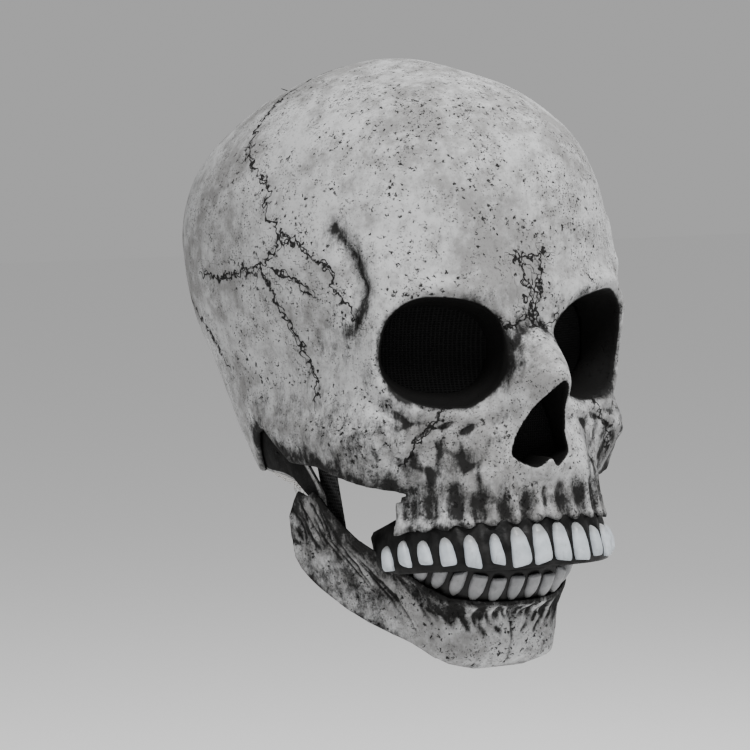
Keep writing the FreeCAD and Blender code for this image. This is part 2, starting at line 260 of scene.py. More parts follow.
# height, half width, y of the widest place, front, rear, power ahead, power behind
CRANIUM = [
    (-14, 71, -42, -89, 50, 2.7, 2.0), (0, 76, -40, -96, 62, 2.8, 2.0),
    (22, 78.5, -30, -101, 78, 3.0, 2.1), (45, 80, -16, -103, 91, 3.0, 2.2),
    (70, 84, -4, -105, 101, 3.1, 2.3), (92, 87, 1, -106, 106, 2.6, 2.3), (115, 87, 3, -104, 107, 2.4, 2.3),
    (138, 81, 1, -100, 98, 2.3, 2.3), (155, 71, -2, -92, 83, 2.3, 2.25), (169, 57, -3, -78, 64, 2.25, 2.2),
    (180, 40, -3, -58, 45, 2.15, 2.1), (187, 21, 0, -32, 27, 2.0, 2.0),
]
# height, half width and front of the upper jaw, the nose ridge and the lower teeth's arch
MUZZLE = [
    (-42, 60.5, -129), (-28, 59, -125.5), (-14, 56.5, -120.5), (2, 53.5, -117), (16, 53, -114.5),
    (32, 50, -108), (46, 44, -96),
]
NOSE = [(0, 21, -118), (16, 21, -122), (36, 19.5, -127), (52, 17, -131), (66, 14, -118), (80, 12, -103)]
LOWER_ARCH = [(-56, 38, -95), (-32, 47.6, -106.4)]
MUZZLE_WIDE_Y, MUZZLE_N = -60.0, 2.55
LOWER_WIDE_Y, LOWER_N = -50.0, 2.3
NOSE_WIDE_Y, NOSE_N = -92.0, 1.75
# the skull casting's lower edge in (y, z)
EDGE = [
    (-170, -11), (-120, -12.5), (-100, -16), (-86, -18), (-79.5, -21), (-80, -8), (-83, -1), (-70, 3),
    (-48, 9), (-27, 9), (-15, 16), (-6, 23), (3, 20), (13, 1), (22, 0), (150, 0),
]
EYE, EYE_TURN, EYE_TILT = np.array([40.7, -95.6, 62.0]), math.radians(21.6), math.radians(-7)
# teeth from the middle outwards: width, height of the root, height of the biting edge
UPPER_TEETH = [(9.4, -14.0, -31.0), (9.4, -15.0, -31.7), (6.4, -17.6, -30.8), (7.4, -17.9, -32.1),
               (7.2, -19.3, -31.5), (6.8, -21.3, -31.6), (6.4, -22.1, -33.3), (6.2, -25.4, -36.4)]
LOWER_TEETH = [(7.6, -51.2, -39.3), (7.6, -51.8, -39.9), (7.8, -51.0, -38.2), (7.4, -48.4, -36.8),
               (7.2, -45.4, -36.0), (7.0, -42.8, -35.6)]
UPPER_PITCH, LOWER_PITCH = 11.1, 9.2


def arch_line(half, front, wide_y, n):
    """Points along one side of an arch from its middle, with the distance walked."""
    a = np.linspace(0, math.pi / 2, 1500)
    x = half * np.sin(a) ** (2 / n)
    y = wide_y - (wide_y - front) * np.cos(a) ** (2 / n)
    walked = np.concatenate([[0], np.cumsum(np.hypot(np.diff(x), np.diff(y)))])
    return x, y, walked


def arch_point(half, front, wide_y, n, s):
    """Point and outward normal at signed distance s from the middle of an arch."""
    x, y, walked = arch_line(half, front, wide_y, n)
    away, reach = np.abs(s), 0.8
    ahead, behind = away + reach, np.maximum(away - reach, 0)
    tx = np.interp(ahead, walked, x) - np.interp(behind, walked, x)
    ty = np.interp(ahead, walked, y) - np.interp(behind, walked, y)
    length = np.hypot(tx, ty)
    sign = np.where(np.asarray(s) < 0, -1, 1)
    return np.interp(away, walked, x) * sign, np.interp(away, walked, y), ty / length * sign, -tx / length


# ---------------- the skull casting as a distance field
GRID = 1.2
GRID_LOW = np.array([0.0, -139.0, -27.0])
GRID_COUNT = (76, 208, 183)
grid_x, grid_y, grid_z = np.ix_(*[(start + GRID * np.arange(count)).astype(np.float32)
                                  for start, count in zip(GRID_LOW, GRID_COUNT)])
heights = grid_z[0, 0].astype(float)


def row_field(cols):
    """Rough distance to stacked superellipses: width squared, wide y, ratio and power ahead and behind."""
    columns = [c.astype(np.float32)[None, None, :] for c in cols.T]
    squared, wide_y, ratio_ahead, ratio_behind, n_ahead, n_behind = columns
    ahead = grid_y < wide_y
    n = np.where(ahead, n_ahead, n_behind)
    along = np.abs(grid_y - wide_y) * np.where(ahead, ratio_ahead, ratio_behind)
    r = (np.abs(grid_x) ** n + along**n) ** (1 / n)
    f = r * r - squared
    g = np.gradient(f, GRID)
    return (f / np.maximum(np.sqrt(g[0] ** 2 + g[1] ** 2 + g[2] ** 2), 8.0)).astype(np.float32)


def cranium_cols(z):
    """The braincase's columns for row_field at heights z, closed at the crown."""
    rows = np.array(CRANIUM, float)
    half, wide_y = rows[:, 1], rows[:, 2]
    table = np.column_stack([rows[:, 0], half**2, wide_y, half / (wide_y - rows[:, 3]),
                             half / (rows[:, 4] - wide_y), rows[:, 5], rows[:, 6]])
    cap = table[-1].copy()
    cap[0], cap[1] = CROWN, 0.0
    cols = smooth_rows(np.vstack([table, cap]), z)
    above = z > CROWN
    cols[above, 0] = -(z[above] - CROWN) * 140.0
    return cols


def plain_cols(rows, wide_y, n):
    """Columns for row_field from a table of half width and front."""
    half, front = smooth_rows(rows, heights).T
    one = np.ones(len(heights))
    return np.column_stack([half**2, wide_y * one, half / (wide_y - front), one, n * one, 2.2 * one])


muzzle = smax(row_field(plain_cols(MUZZLE, MUZZLE_WIDE_Y, MUZZLE_N)), grid_z - 44.0, 8.0)
nose = row_field(plain_cols(NOSE, NOSE_WIDE_Y, NOSE_N))
nose = smax(smax(nose, grid_z - 79.0, 6.0), -grid_z + 2.0, 8.0)
base = smin(row_field(cranium_cols(heights)), muzzle, 7.0)
outer = smin(base, nose, 5.0)

# the eye socket narrows with depth
eye_out = np.array([math.sin(EYE_TURN), -math.cos(EYE_TURN)])
eye_across = np.array([math.cos(EYE_TURN), math.sin(EYE_TURN)])
eye_depth = -((grid_x - EYE[0]) * eye_out[0] + (grid_y - EYE[1]) * eye_out[1])
level_u = (grid_x - EYE[0]) * eye_across[0] + (grid_y - EYE[1]) * eye_across[1]
level_v = grid_z - EYE[2]
eye_u = level_u * math.cos(EYE_TILT) - level_v * math.sin(EYE_TILT)
eye_v = level_u * math.sin(EYE_TILT) + level_v * math.cos(EYE_TILT)
EYE_BACK, EYE_POWER = 19, 2.5
deep = np.clip(eye_depth, -12, EYE_BACK)
half_u, half_v = 29.0 - 5.0 * deep / EYE_BACK, 23.5 - 4.5 * deep / EYE_BACK
eye_ring = ((np.abs(eye_u) / half_u) ** EYE_POWER + (np.abs(eye_v) / half_v) ** EYE_POWER) ** 0.4
socket = smax((eye_ring - 1) * 22.0, eye_depth - 30.0, 2.0).astype(np.float32)
near_face = np.exp(-((eye_depth - 1) / 13.0) ** 2)

# lumps and hollows of the skin: centre, spread, height
BUMPS = [
    ((24, -104, 91), (17, 14, 6.5), 3.2),  # brow ridge
    ((52, -96, 92), (14, 12, 6), 2.2),  # brow ridge, outer end
    ((0, -107, 84), (9, 12, 7), 1.6),  # glabella
    ((0, -106, 73), (8, 9, 6), -2.6),  # root of the nose
    ((36, -92, 132), (26, 22, 22), 1.6),  # frontal boss
    ((76, 30, 128), (20, 28, 24), 1.5),  # parietal boss
    ((0, 107, 74), (16, 12, 12), 2.2),  # occiput
    ((62, 62, 40), (22, 18, 18), -1.6),  # below the occiput
    ((78, -58, 66), (12, 17, 22), -4.2),  # temple hollow
    ((80, -30, 52), (10, 24, 16), -1.8),  # its lower rear end
    ((66, -84, 24), (12, 13, 9), 3.4),  # cheekbone
    ((76, -58, 20), (8, 20, 7), 2.6),  # cheek arch
    ((79, -28, 24), (7, 22, 6.5), 2.2),  # cheek arch, rear end
    ((80, 6, 34), (8, 10, 10), 1.2),  # behind the ear
    ((60, -86, 2), (11, 10, 7), -3.0),  # under the cheekbone
    ((38, -108, 20), (10, 10, 11), -4.6),  # fossa above the canine
    ((52, -98, 12), (9, 10, 9), -2.5),  # its outer end
    ((26, -112, 12), (5, 9, 14), 1.6),  # canine ridge
    ((0, -118, -3), (5, 8, 6), -1.6),  # under the nose
    ((14, -117, 2), (6, 8, 8), -1.6),  # beside it
]
for centre, spread, height in BUMPS:
    outer = outer - height * soft_spot(grid_x, grid_y, grid_z, centre, spread)
slanting = np.sin((grid_x * 0.5 + grid_z * 0.32 + 2.2 * np.sin(grid_z * 0.21 + grid_y * 0.13)) * 0.9)
ripple = slanting * np.sin((grid_z * 0.45 - grid_x * 0.25 + grid_y * 0.2) * 0.7)
outer = (outer + 0.75 * ripple * step01(52, 36, grid_z) * step01(-4, 10, grid_z)
         * step01(-66, -84, grid_y) * step01(20, 30, grid_x))
# raised rim of the socket, and the groove below it
outer = outer - 1.5 * np.exp(-((eye_ring - 1.15) / 0.12) ** 2) * near_face
groove = np.exp(-((eye_ring - 1.42) / 0.12) ** 2) * near_face
outer = outer + 1.6 * groove * np.exp(-((grid_z - 40) / 12) ** 2)
# hollow along the front of the temple, then the raised line ahead of it: ends in (y, z), width, depth, shift
TEMPLE = [((-62, 118), (-72, 104), 4.0, 1.4, 3.5), ((-72, 104), (-77, 90), 4.2, 2.4, 3.5),
          ((-77, 90), (-75, 78), 4.2, 2.0, 3.5), ((-72, 116), (-82, 98), 5.0, -1.3, 0.0),
          ((-82, 98), (-84, 80), 5.0, -1.3, 0.0)]
for start, end, wide, depth, shift in TEMPLE:
    away = segment_distance(grid_y, grid_z, start, end, shift)
    outer = outer + depth * np.exp(-(away / wide) ** 2) * step01(40, 60, grid_x)

# hollows between the roots of the upper teeth
arch_x, arch_y, arch_s = arch_line(54.5, -118.0, MUZZLE_WIDE_Y, MUZZLE_N)
root_hollow = np.zeros(GRID_COUNT, np.float32)
for k in range(1, 9):
    s = (k - 0.02) * UPPER_PITCH
    top = 3.0 - 0.8 * abs(k - 3)
    lean = (0.22 if k < 6 else 0.05) * (grid_z + 12) * 0.45
    across = (grid_x - (float(np.interp(s, arch_s, arch_x)) - lean)) / 3.9
    inward = (grid_y - (float(np.interp(s, arch_s, arch_y)) + lean)) / 5.5
    body = np.exp(-(across**2 + inward**2) ** 1.4) * step01(-17, -9, grid_z)
    root_hollow = np.maximum(root_hollow, body * (1 - step01(top - 7, top + 6, grid_z)))
middle = np.exp(-(grid_x / 2.6) ** 2) * step01(-16, -9, grid_z) * (1 - step01(-2, 8, grid_z)) * (grid_y < -95)
outer = outer + 2.6 * root_hollow + 1.0 * middle


# nasal opening: a pear with a spine at the foot
PEAR_FOOT, PEAR_HEIGHT, PEAR_SLOPE = 10.5, 39.0, 0.86


def pear_half_width(z):
    t = np.clip((z - 11.0) / PEAR_HEIGHT, 0, 1)
    return 17.3 * (1 - t) ** 0.62 * np.sqrt(np.clip(0.25 + t * 5, 0, 1)) + np.minimum(50 - z, 0) * 1.2


foot = PEAR_FOOT + 4.6 * np.exp(-(grid_x / 3.4) ** 2) + 0.012 * grid_x * grid_x
pear = smax((grid_x - pear_half_width(grid_z)) * PEAR_SLOPE, foot - grid_z, 4.0)
pear = np.where(grid_y > -92, 20.0, pear).astype(np.float32)
spine = np.hypot(grid_x, grid_z - 12.6) - (3.2 - 2.0 * np.clip((grid_y + 106) / -12.0, 0, 1))
spine = smax(spine, -(grid_y + 118.5), 1.0)
outer = smin(outer, np.where(grid_y < -100, spine, 50), 2.0)

# lower edge, scalloped over the upper teeth; positive in what is cut away
plane_y, plane_z = np.meshgrid(grid_y[0, :, 0], grid_z[0, 0], indexing="ij")
under = -polygon_distance(EDGE + [(150, -200), (-170, -200)], plane_y, plane_z)[None].astype(np.float32)
scallop = 1.1 * np.cos(2 * math.pi * np.interp(grid_x[:, 0, 0], arch_x, arch_s) / UPPER_PITCH)
under = under + scallop[:, None, None] * step01(-84, -92, grid_y) * step01(6, -6, grid_z)

CUP_WALL = 2.3   # walls of the cups that line the sockets and the nasal opening
solid = smax(smax(outer, -socket, 2.6), -pear, 1.8)
cavity = smax(base + SKIN, outer + 3.0, 1.0)
shell = smax(smax(np.maximum(outer, -cavity), -socket, 2.6), -pear, 1.8)
eye_cup = np.maximum(np.maximum(socket - CUP_WALL, -socket), np.maximum(eye_depth - EYE_BACK, outer + 1.5))
nose_cup = np.maximum(np.maximum(pear - CUP_WALL, -pear), np.maximum(grid_y + 103.0, outer + 1.5))
shell = smax(smin(shell, np.minimum(eye_cup, nose_cup), 1.0), under, 1.2).astype(np.float32)

crease = np.zeros_like(solid)
mirrored = np.concatenate([solid[2:0:-1], solid])
for axis in range(3):
    crease -= (np.roll(mirrored, 2, axis) + np.roll(mirrored, -2, axis) - 2 * mirrored)[2:]
mesh_low = [-GRID * (GRID_COUNT[0] - 1), GRID_LOW[1], GRID_LOW[2]]
verts, quads = surface_nets(np.concatenate([shell[:0:-1], shell], 0), mesh_low, GRID)


def sample(field):
    """A field's values at the mesh's points, linearly between its grid points."""
    g = (np.column_stack([np.abs(verts[:, 0]), verts[:, 1:]]) - GRID_LOW) / GRID
    i = np.clip(np.floor(g).astype(int), 0, np.array(field.shape) - 2)
    f = np.clip(g - i, 0, 1)
    out = 0.0
    for a in (0, 1):
        for b in (0, 1):
            for c in (0, 1):
                share = [f[:, k] if ahead else 1 - f[:, k] for k, ahead in enumerate((a, b, c))]
                out = out + share[0] * share[1] * share[2] * field[i[:, 0] + a, i[:, 1] + b, i[:, 2] + c]
    return out


below_skin = -sample(outer)
inner_face = step01(0.6, 0.1, np.abs(sample(cavity)))
in_crease = sample(crease)
in_root_hollow = sample(root_hollow)
above_edge = -sample(under)
round_eye = sample(eye_ring.astype(np.float32))
into_eye = sample(np.broadcast_to(eye_depth, eye_ring.shape))
round_nose = sample(pear)

skull = make_mesh("skull_casting", verts, quads)
normals = np.zeros(len(verts) * 3, np.float32)
skull.data.vertex_normals.foreach_get("vector", normals)
normals = normals.reshape(-1, 3)
outer_skin = below_skin < 1.6
lumps = 0.22 * wobble(verts, 26, 3) + 0.16 * wobble(verts, 11, 4)
verts = verts + normals * (lumps * (outer_skin & (above_edge > 3)))[:, None]
skull.data.vertices.foreach_set("co", (verts * MM).astype(np.float32).ravel())

# sutures of the braincase and cheek on the wearer's left; the right ones wander differently
SIDE_SUTURES = [
    [(0, 22, 189), (30, 21, 184), (55, 19, 170), (67, 13, 158), (73, 9, 150), (78, 1, 143), (81, -12, 136),
     (82, -21, 132), (83, -17, 126), (84, -22, 120), (84, -34, 112)],  # coronal
    [(84, -34, 112), (82, -45, 107), (81, -50, 104), (78, -61, 96), (77, -66, 86), (73, -75, 76)],  # sphenoid
    [(84, -34, 112), (85, -27, 104), (86, -17, 97), (87, -3, 95), (86, 15, 91), (82, 32, 93)],  # parietal
    [(86, -17, 97), (85, -26, 87), (84, -32, 78), (83, -38, 71), (82, -40, 64), (81, -43, 57), (79, -49, 50),
     (79, -48, 40)],  # squamous
    [(86, -28, 97), (85, -35, 96), (83, -44, 92), (82, -50, 87)],  # spur
    [(0, 103, 130), (28, 99, 114), (56, 84, 94), (74, 58, 76), (80, 36, 62), (81, 24, 48)],  # lambdoid
    [(41, -99, 38), (47, -96, 30), (53, -92, 23), (57, -87, 11)],  # cheek
]
MIDDLE_SUTURES = [
    [(0, 22, 189), (2, 48, 182), (-2, 72, 166), (1, 93, 146), (0, 103, 130)],  # sagittal
    [(-7, -107, 105), (-4, -107, 96), (-2, -107, 86), (0, -106, 75)],  # metopic
    [(-19, -103, 76), (-11, -107, 72), (-3, -108, 77), (6, -108, 73), (16, -105, 77)],  # nasal
    [(7, -107, 105), (5, -107, 96), (2, -107, 86), (0, -106, 75)],  # metopic
    [(-8, -106, 105), (0, -107, 104), (8, -106, 105)],  # its top
]
FAR = 30.0       # distance given to points that no suture is near
lines = []
for k, line in enumerate(SIDE_SUTURES):
    lines += [(np.array(line, float), k), (np.array(line, float) * [-1, 1, 1], k + 20)]
lines += [(np.array(line, float), k) for k, line in enumerate(MIDDLE_SUTURES, 40)]
outer_ids = np.where(outer_skin)[0]
outer_verts = verts[outer_ids]


def signed_distance(points, facing, path):
    """Distance of surface points from a path, and 1 or -1 for the side that they are on."""
    best, side = np.full(len(points), 1e9), np.zeros(len(points))
    for a, b in zip(path, path[1:]):
        e = b - a
        if e @ e < 1e-6:
            continue
        t = np.clip(((points - a) @ e) / (e @ e), 0, 1)
        away = points - a - t[:, None] * e
        distance = np.linalg.norm(away, axis=1)
        turn = np.sign((np.cross(e, away) * facing).sum(1))
        closer = distance < best
        best = np.where(closer, distance, best)
        side = np.where(closer, turn, side)
    return best, side


# two layers of wandering lines: each has its distance and its signed distance
signed = np.full((2, len(verts)), FAR)
near = np.full((2, len(verts)), FAR)
for line, seed in lines:
    length = np.linalg.norm(np.diff(line, axis=0), axis=1).sum()
    close = outer_verts[line_distance(outer_verts, line) < 14]
    guide = smooth_path(line, max(8, int(length / 3.0)))
    path = np.array([close[np.argmin(((close - p) ** 2).sum(1))] for p in guide])
    path[1:-1] = (path[:-2] + 2 * path[1:-1] + path[2:]) / 4
    pick = outer_ids[line_distance(outer_verts, path) < 7]
    at = verts[pick]
    for layer in (0, 1):
        seeds = [100 * layer + seed + axis for axis in (0, 300, 600)]
        shift = np.stack([wobble(at, 6.5, n) * 1.15 + wobble(at, 3.2, n + 50) * 0.55 for n in seeds], 1)
        best, side = signed_distance(at + shift, normals[pick], path)
        better = best < near[layer, pick]
        near[layer, pick[better]] = best[better]
        signed[layer, pick[better]] = (best * side)[better]

# airbrushed paint and painted shade: amount, centre, spread of each soft patch; the dark patches on the cheek
# and under the cheekbone are painted shade
AIRBRUSH_AND_SHADE_PATCHES = [
    (0.30, (74, -58, 60), (20, 14, 16)), (0.30, (60, -82, 52), (16, 12, 20)),
    (0.42, (60, -84, 1), (14, 16, 7)), (0.38, (38, -108, 18), (9, 12, 9)),
    (0.34, (28, -106, 87), (9, 10, 5)), (0.34, (14, -110, 62), (7, 12, 14)),
    (0.30, (50, -92, 40), (10, 12, 5)), (0.22, (16, -112, -4), (30, 14, 7)),
    (0.75, (80, 3, 15), (16, 8, 10)), (0.40, (80, -30, 14), (12, 26, 7)),
    (0.25, (80, -14, 34), (14, 26, 12)), (0.15, (45, -60, 178), (40, 20, 12)),
    (0.55, (66, -62, 18), (22, 34, 20)), (0.20, (40, -100, 14), (26, 16, 16)),
    (0.24, (10, -108, 66), (9, 14, 16)),
]
STREAK_PATCHES = [
    (1.0, (58, -84, 20), (24, 26, 20)), (1.0, (34, -106, 14), (24, 18, 16)),
    (1.3, (12, -108, 62), (10, 16, 18)),
]
PIT_PATCHES = [(0.9, (20, -85, 150), (60, 55, 42)), (0.6, (55, -90, 92), (22, 20, 18)),
               (0.6, (70, -70, 30), (20, 30, 20)), (0.5, (80, -34, 44), (14, 30, 18))]
CRESCENT = [(-60, 117), (-67, 110), (-73, 101), (-76, 90), (-75, 79), (-71, 70)]
side_x, skull_y = np.abs(verts[:, 0]), verts[:, 1]


def patches(table):
    """Sum of soft patches, the same on both sides of the skull."""
    at = (side_x, skull_y, verts[:, 2])
    return sum(amount * soft_spot(*at, centre, spread) for amount, centre, spread in table)


# near black where the skin turns inward: black paint on the socket and nasal walls, and painted shade over
# the whole inside of the casting
dark = step01(0.7, 2.8, below_skin)
dark = np.maximum(dark, step01(1.06, 0.99, round_eye) * step01(-8, -4, into_eye) * step01(-40, -60, skull_y))
dark = np.maximum(dark, step01(1.1, 0.1, round_nose) * step01(-94, -98, skull_y))
# painted shade mixed with the airbrush: darker in the hollows between the tooth roots, along the lower edge,
# in creases, in the temple's crescent and just inside the socket rims
airbrush_and_shade = 0.66 * np.clip(in_root_hollow, 0, 1) ** 0.6
airbrush_and_shade = np.maximum(airbrush_and_shade, 0.60 * step01(5, 0.5, above_edge) * step01(-60, -90, skull_y))
airbrush_and_shade = np.maximum(airbrush_and_shade, 0.45 * step01(8, 0, above_edge) * step01(-90, -60, skull_y))
creased = 0.70 * step01(0.5, 2.2, in_crease) * step01(-66, -80, skull_y) * step01(66, 56, side_x)
airbrush_and_shade = np.maximum(airbrush_and_shade, creased)
crescent = line_distance(verts[:, 1:], CRESCENT)
crescent_line = 0.52 * np.exp(-((crescent + 0.6 * wobble(verts, 9, 5)) / 2.8) ** 2)
airbrush_and_shade += (crescent_line + 0.36 * np.exp(-(crescent / 7) ** 2)) * step01(50, 62, side_x)
airbrush_and_shade += patches(AIRBRUSH_AND_SHADE_PATCHES) + 0.10
airbrush_and_shade += 0.45 * np.exp(-((round_eye - 1.03) / 0.045) ** 2) * np.exp(-(into_eye / 8) ** 2)
# dark streaks, part of the painted shade, that run down the cheek and the front of the upper jaw
streaks = np.clip(wobble(verts * [1.0, 1.0, 0.4], 4.5, 77), 0, 1)
airbrush_and_shade += 0.55 * np.clip(patches(STREAK_PATCHES), 0, 1) * streaks
for name, values in (("suture_a", signed[0]), ("suture_b", signed[1]), ("suture_near", near.min(0)),
                     ("dark", np.clip(np.maximum(dark, inner_face), 0, 1)), ("airbrush_and_shade", np.clip(airbrush_and_shade, 0, 1)),
                     ("pits", np.clip(0.35 + patches(PIT_PATCHES) - 0.25 * step01(0, 60, skull_y), 0, 1))):
    set_attr(skull, name, values)
place(skull, "skull", "skull_shell")


def paint_plain(ob, dark, airbrush_and_shade, pits):
    """Paint values of a bone piece that has no sutures."""
    count = len(ob.data.vertices)
    set_attr(ob, "dark", dark)
    set_attr(ob, "airbrush_and_shade", airbrush_and_shade)
    set_attr(ob, "pits", np.full(count, pits))
    for name in ("suture_a", "suture_b", "suture_near"):
        set_attr(ob, name, np.full(count, FAR))


# ---------------- lower jaw
# height, y of the middle front, a bend and a corner in (x, y), half widths at the stations in y
JAW = [
    (-84, -84, (14, -83), (25, -79), (31, 38, 44, 48)),
    (-78, -88.5, (15, -87), (29, -82), (37, 46, 53, 57)),
    (-68, -90.5, (16, -89), (31, -83.5), (41, 50.5, 59, 63)),
    (-58, -94, (16.5, -92), (31, -84.5), (42.5, 53, 62, 66)),
    (-54, -99.2, (17, -96.4), (32.2, -85), (43.5, 54, 63, 67)),
    (-50, -101, (17, -98.2), (32.5, -87.6), (45, 55.5, 64.5, 68)),
    (-40, -106, (18, -103), (36, -91), (51, 61, 68.5, 71)),
    (-25, -108, (19, -105), (39, -93), (60, 69, 73, 74.5)),
    (-5, -108, (20, -105), (41, -94), (68, 74, 76.5, 77.5)),
    (4, -108, (20, -105), (42, -94), (69, 75, 77, 78)),
]
JAW_STATIONS = (-68, -53, -38, -25)
# place along the side, 0 at the chin and 6 at the rear edge, and height there
JAW_TOP = [
    (0, -52), (1, -51.5), (1.5, -50.8), (2, -49.6), (2.4, -45), (2.7, -38.5), (3, -30), (3.5, -20.5),
    (4, -12), (4.4, -5), (4.65, -2.8), (4.95, -5.4), (5.15, -4.2), (5.4, -3.4), (5.7, -8), (6, -14),
]
JAW_FOOT = [
    (0, -84), (1, -84), (2, -81), (2.5, -77), (3, -71.3), (3.5, -67), (4, -63), (4.5, -57.5), (5, -50.8),
    (5.5, -45), (5.8, -41), (6, -36),
]


def jaw_plan(t, z):
    """Points on the jaw's outer face: t 0 at the chin, 6 at the rear edge, signed for the side."""
    rows = []
    for height, front, bend, corner, widths in JAW:
        rows.append([height, 0, front, *bend, *corner, *np.column_stack([widths, JAW_STATIONS]).ravel()])
    rows = np.array(rows, float)
    cols = np.array([np.interp(z, rows[:, 0], values) for values in rows.T[1:]]).T.reshape(len(z), 7, 2)
    # two mirrored points ahead of the middle one
    line = np.concatenate([cols[:, 2:0:-1] * [-1, 1], cols], 1)
    s = np.abs(t) + 2
    i = np.clip(s.astype(int), 1, 7)
    a, b, c, d = [line[np.arange(len(z)), np.clip(i + k, 0, 8)] for k in (-1, 0, 1, 2)]
    d = np.where((i + 2 > 8)[:, None], 2 * c - b, d)
    p = spline(a, b, c, d, (s - i)[:, None])
    return np.column_stack([p[:, 0] * np.where(t < 0, -1, 1), p[:, 1], z])


nu, nv = 361, 64
jaw_t, jaw_r = grid_points(nu, nv, -6, 6, 0, 1)
side_t = np.abs(jaw_t)
top_z = np.interp(side_t, *zip(*JAW_TOP))
foot_z = np.interp(side_t, *zip(*JAW_FOOT))
jaw_z = foot_z + (top_z - foot_z) * jaw_r
jaw_base = jaw_plan(jaw_t, jaw_z)
jaw_y = jaw_base[:, 1]
jaw_x = np.abs(jaw_base[:, 0])
jaw_normal = grid_normals(jaw_base, nu, nv)
if jaw_normal[len(jaw_normal) // 2][1] > 0:
    jaw_normal = -jaw_normal
below_top = top_z - jaw_z
from_rim = np.minimum(below_top, jaw_z - foot_z)

# height, centre, spread
JAW_BUMPS = [
    (2.2, (0, -88, -72), (15, 14, 8)), (1.8, (24, -84, -76), (9, 12, 6)),  # chin and its corners
    (-1.6, (0, -96, -58), (14, 14, 4)), (1.2, (44, -66, -58), (10, 16, 6)),  # under the teeth, body
    (-1.4, (60, -45, -32), (10, 12, 10)), (1.4, (38, -76, -52), (8, 9, 5)),  # arm, above the body
]
relief = sum(height * soft_spot(jaw_x, jaw_y, jaw_z, centre, spread) for height, centre, spread in JAW_BUMPS)
# slanting slits below the gum, and lower ones on the arm
root_dents, slits = np.zeros(len(jaw_t)), np.zeros(len(jaw_t))
along_side = np.where(jaw_y > -88, 34 + (jaw_y + 88) * 1.0, np.minimum(jaw_x, 34))
rng = np.random.default_rng(17)
for k in range(38):
    on_arm = k > 19
    low = on_arm and k % 3 != 0
    middle_along = 3.0 + 2.5 * k + rng.uniform(-1, 1)
    middle_below = rng.uniform(3.5, 8.5) + (5 if k % 3 == 2 else 0)
    middle_below += rng.uniform(6, 14) if low else 0
    lean = -rng.uniform(0.30, 0.80)
    half = rng.uniform(2.8, 6.0) * (1.5 if low else 1)
    fat = rng.uniform(0.8, 1.7) * (0.6 if on_arm else 1)
    along, down = along_side - middle_along, below_top - middle_below
    lengthwise = down * math.cos(lean) + along * math.sin(lean)
    crosswise = along * math.cos(lean) - down * math.sin(lean) + 0.6 * wobble(jaw_base, 6, 200 + k)
    slit = np.exp(-(crosswise / fat) ** 2 - (lengthwise / half) ** 4)
    slits = np.maximum(slits, rng.uniform(0.55, 1.0) * slit)
for k in range(7):
    across = (along_side - (k + 0.1) * LOWER_PITCH * 0.95) / 2.2
    root_dents = np.maximum(root_dents, np.exp(-(across**2 + ((below_top - 6.0) / 4.2) ** 2)))
off_middle = jaw_base[:, 0] + 0.5 * wobble(jaw_base, 5, 81)
symphysis = np.exp(-(off_middle / 0.8) ** 2) * (jaw_z > -80) * (jaw_z < -62)
relief += (-1.5 * root_dents - 0.7 * slits - 0.6 * symphysis
           + 0.22 * wobble(jaw_base, 24, 91) + 0.14 * wobble(jaw_base, 9, 92))
relief *= step01(0, 3, from_rim)
rim = 0.9 * (1 - step01(0.0, 1.6, from_rim))
jaw_outer = jaw_base + jaw_normal * (relief - rim)[:, None]
jaw_inner = jaw_base - jaw_normal * (SKIN - rim)[:, None] + jaw_normal * np.minimum(relief, 0)[:, None]
jaw = shell_patch("jaw_casting", jaw_outer, jaw_inner, nu, nv)
arm = step01(-78, -56, jaw_y)
# painted shade mixed with airbrush paint: darker in the dents below the teeth, in the slits, near the gum
# line and along the rims; the rear arm is darker too, and the inside is painted near black as painted shade
airbrush_and_shade = (0.66 * root_dents + 0.88 * slits + 0.5 * symphysis
         + 0.30 * step01(5, 0.5, below_top) * (side_t < 3) + 0.3 * step01(4, 0, from_rim))
airbrush_and_shade += 0.40 * arm + 0.16 * arm * wobble(jaw_base * [1, 1, 0.35], 7, 33) + 0.20
airbrush_and_shade += 0.34 * step01(17, 5, below_top) * step01(0.2, 2.5, side_t) * step01(4.9, 3.9, side_t)
paint_plain(jaw, np.repeat([0.0, 1.0], len(jaw_t)), np.tile(np.clip(airbrush_and_shade, 0, 1), 2), 0.6)
place(jaw, "jaw", "jaw_shell")


# ---------------- gums
def muzzle_size(z):
    """Half width and front of the upper gum's arch at z."""
    r = np.array(MUZZLE, float)
    return np.interp(z, r[:, 0], r[:, 1]) - LINED, np.interp(z, r[:, 0], r[:, 2]) + LINED


def lower_size(z):
    """Half width and front of the lower gum's arch at z."""
    r = np.array(LOWER_ARCH, float)
    at = np.clip(z, -60, -30)
    return np.interp(at, r[:, 0], r[:, 1]), np.interp(at, r[:, 0], r[:, 2])


UPPER_ARCH_OF = (muzzle_size, MUZZLE_WIDE_Y, MUZZLE_N, UPPER_PITCH)
LOWER_ARCH_OF = (lower_size, LOWER_WIDE_Y, LOWER_N, LOWER_PITCH)
# distance from the middle and height, along the foot and the top of each gum
UPPER_FOOT = ([0, 45, 62, 78, 95], [-33.2, -34.0, -35.4, -37.5, -37.0])
UPPER_TOP = ([0, 66, 78, 95], [-9.0, -9.0, -15.0, -23.0])
LOWER_FOOT = ([0, 18, 40, 62], [-53.6, -53.2, -50.5, -46.0])
LOWER_TOP = ([0, 30, 62], [-35.0, -34.6, -34.2])
GUM = 2.6        # how far a gum goes in from its arch


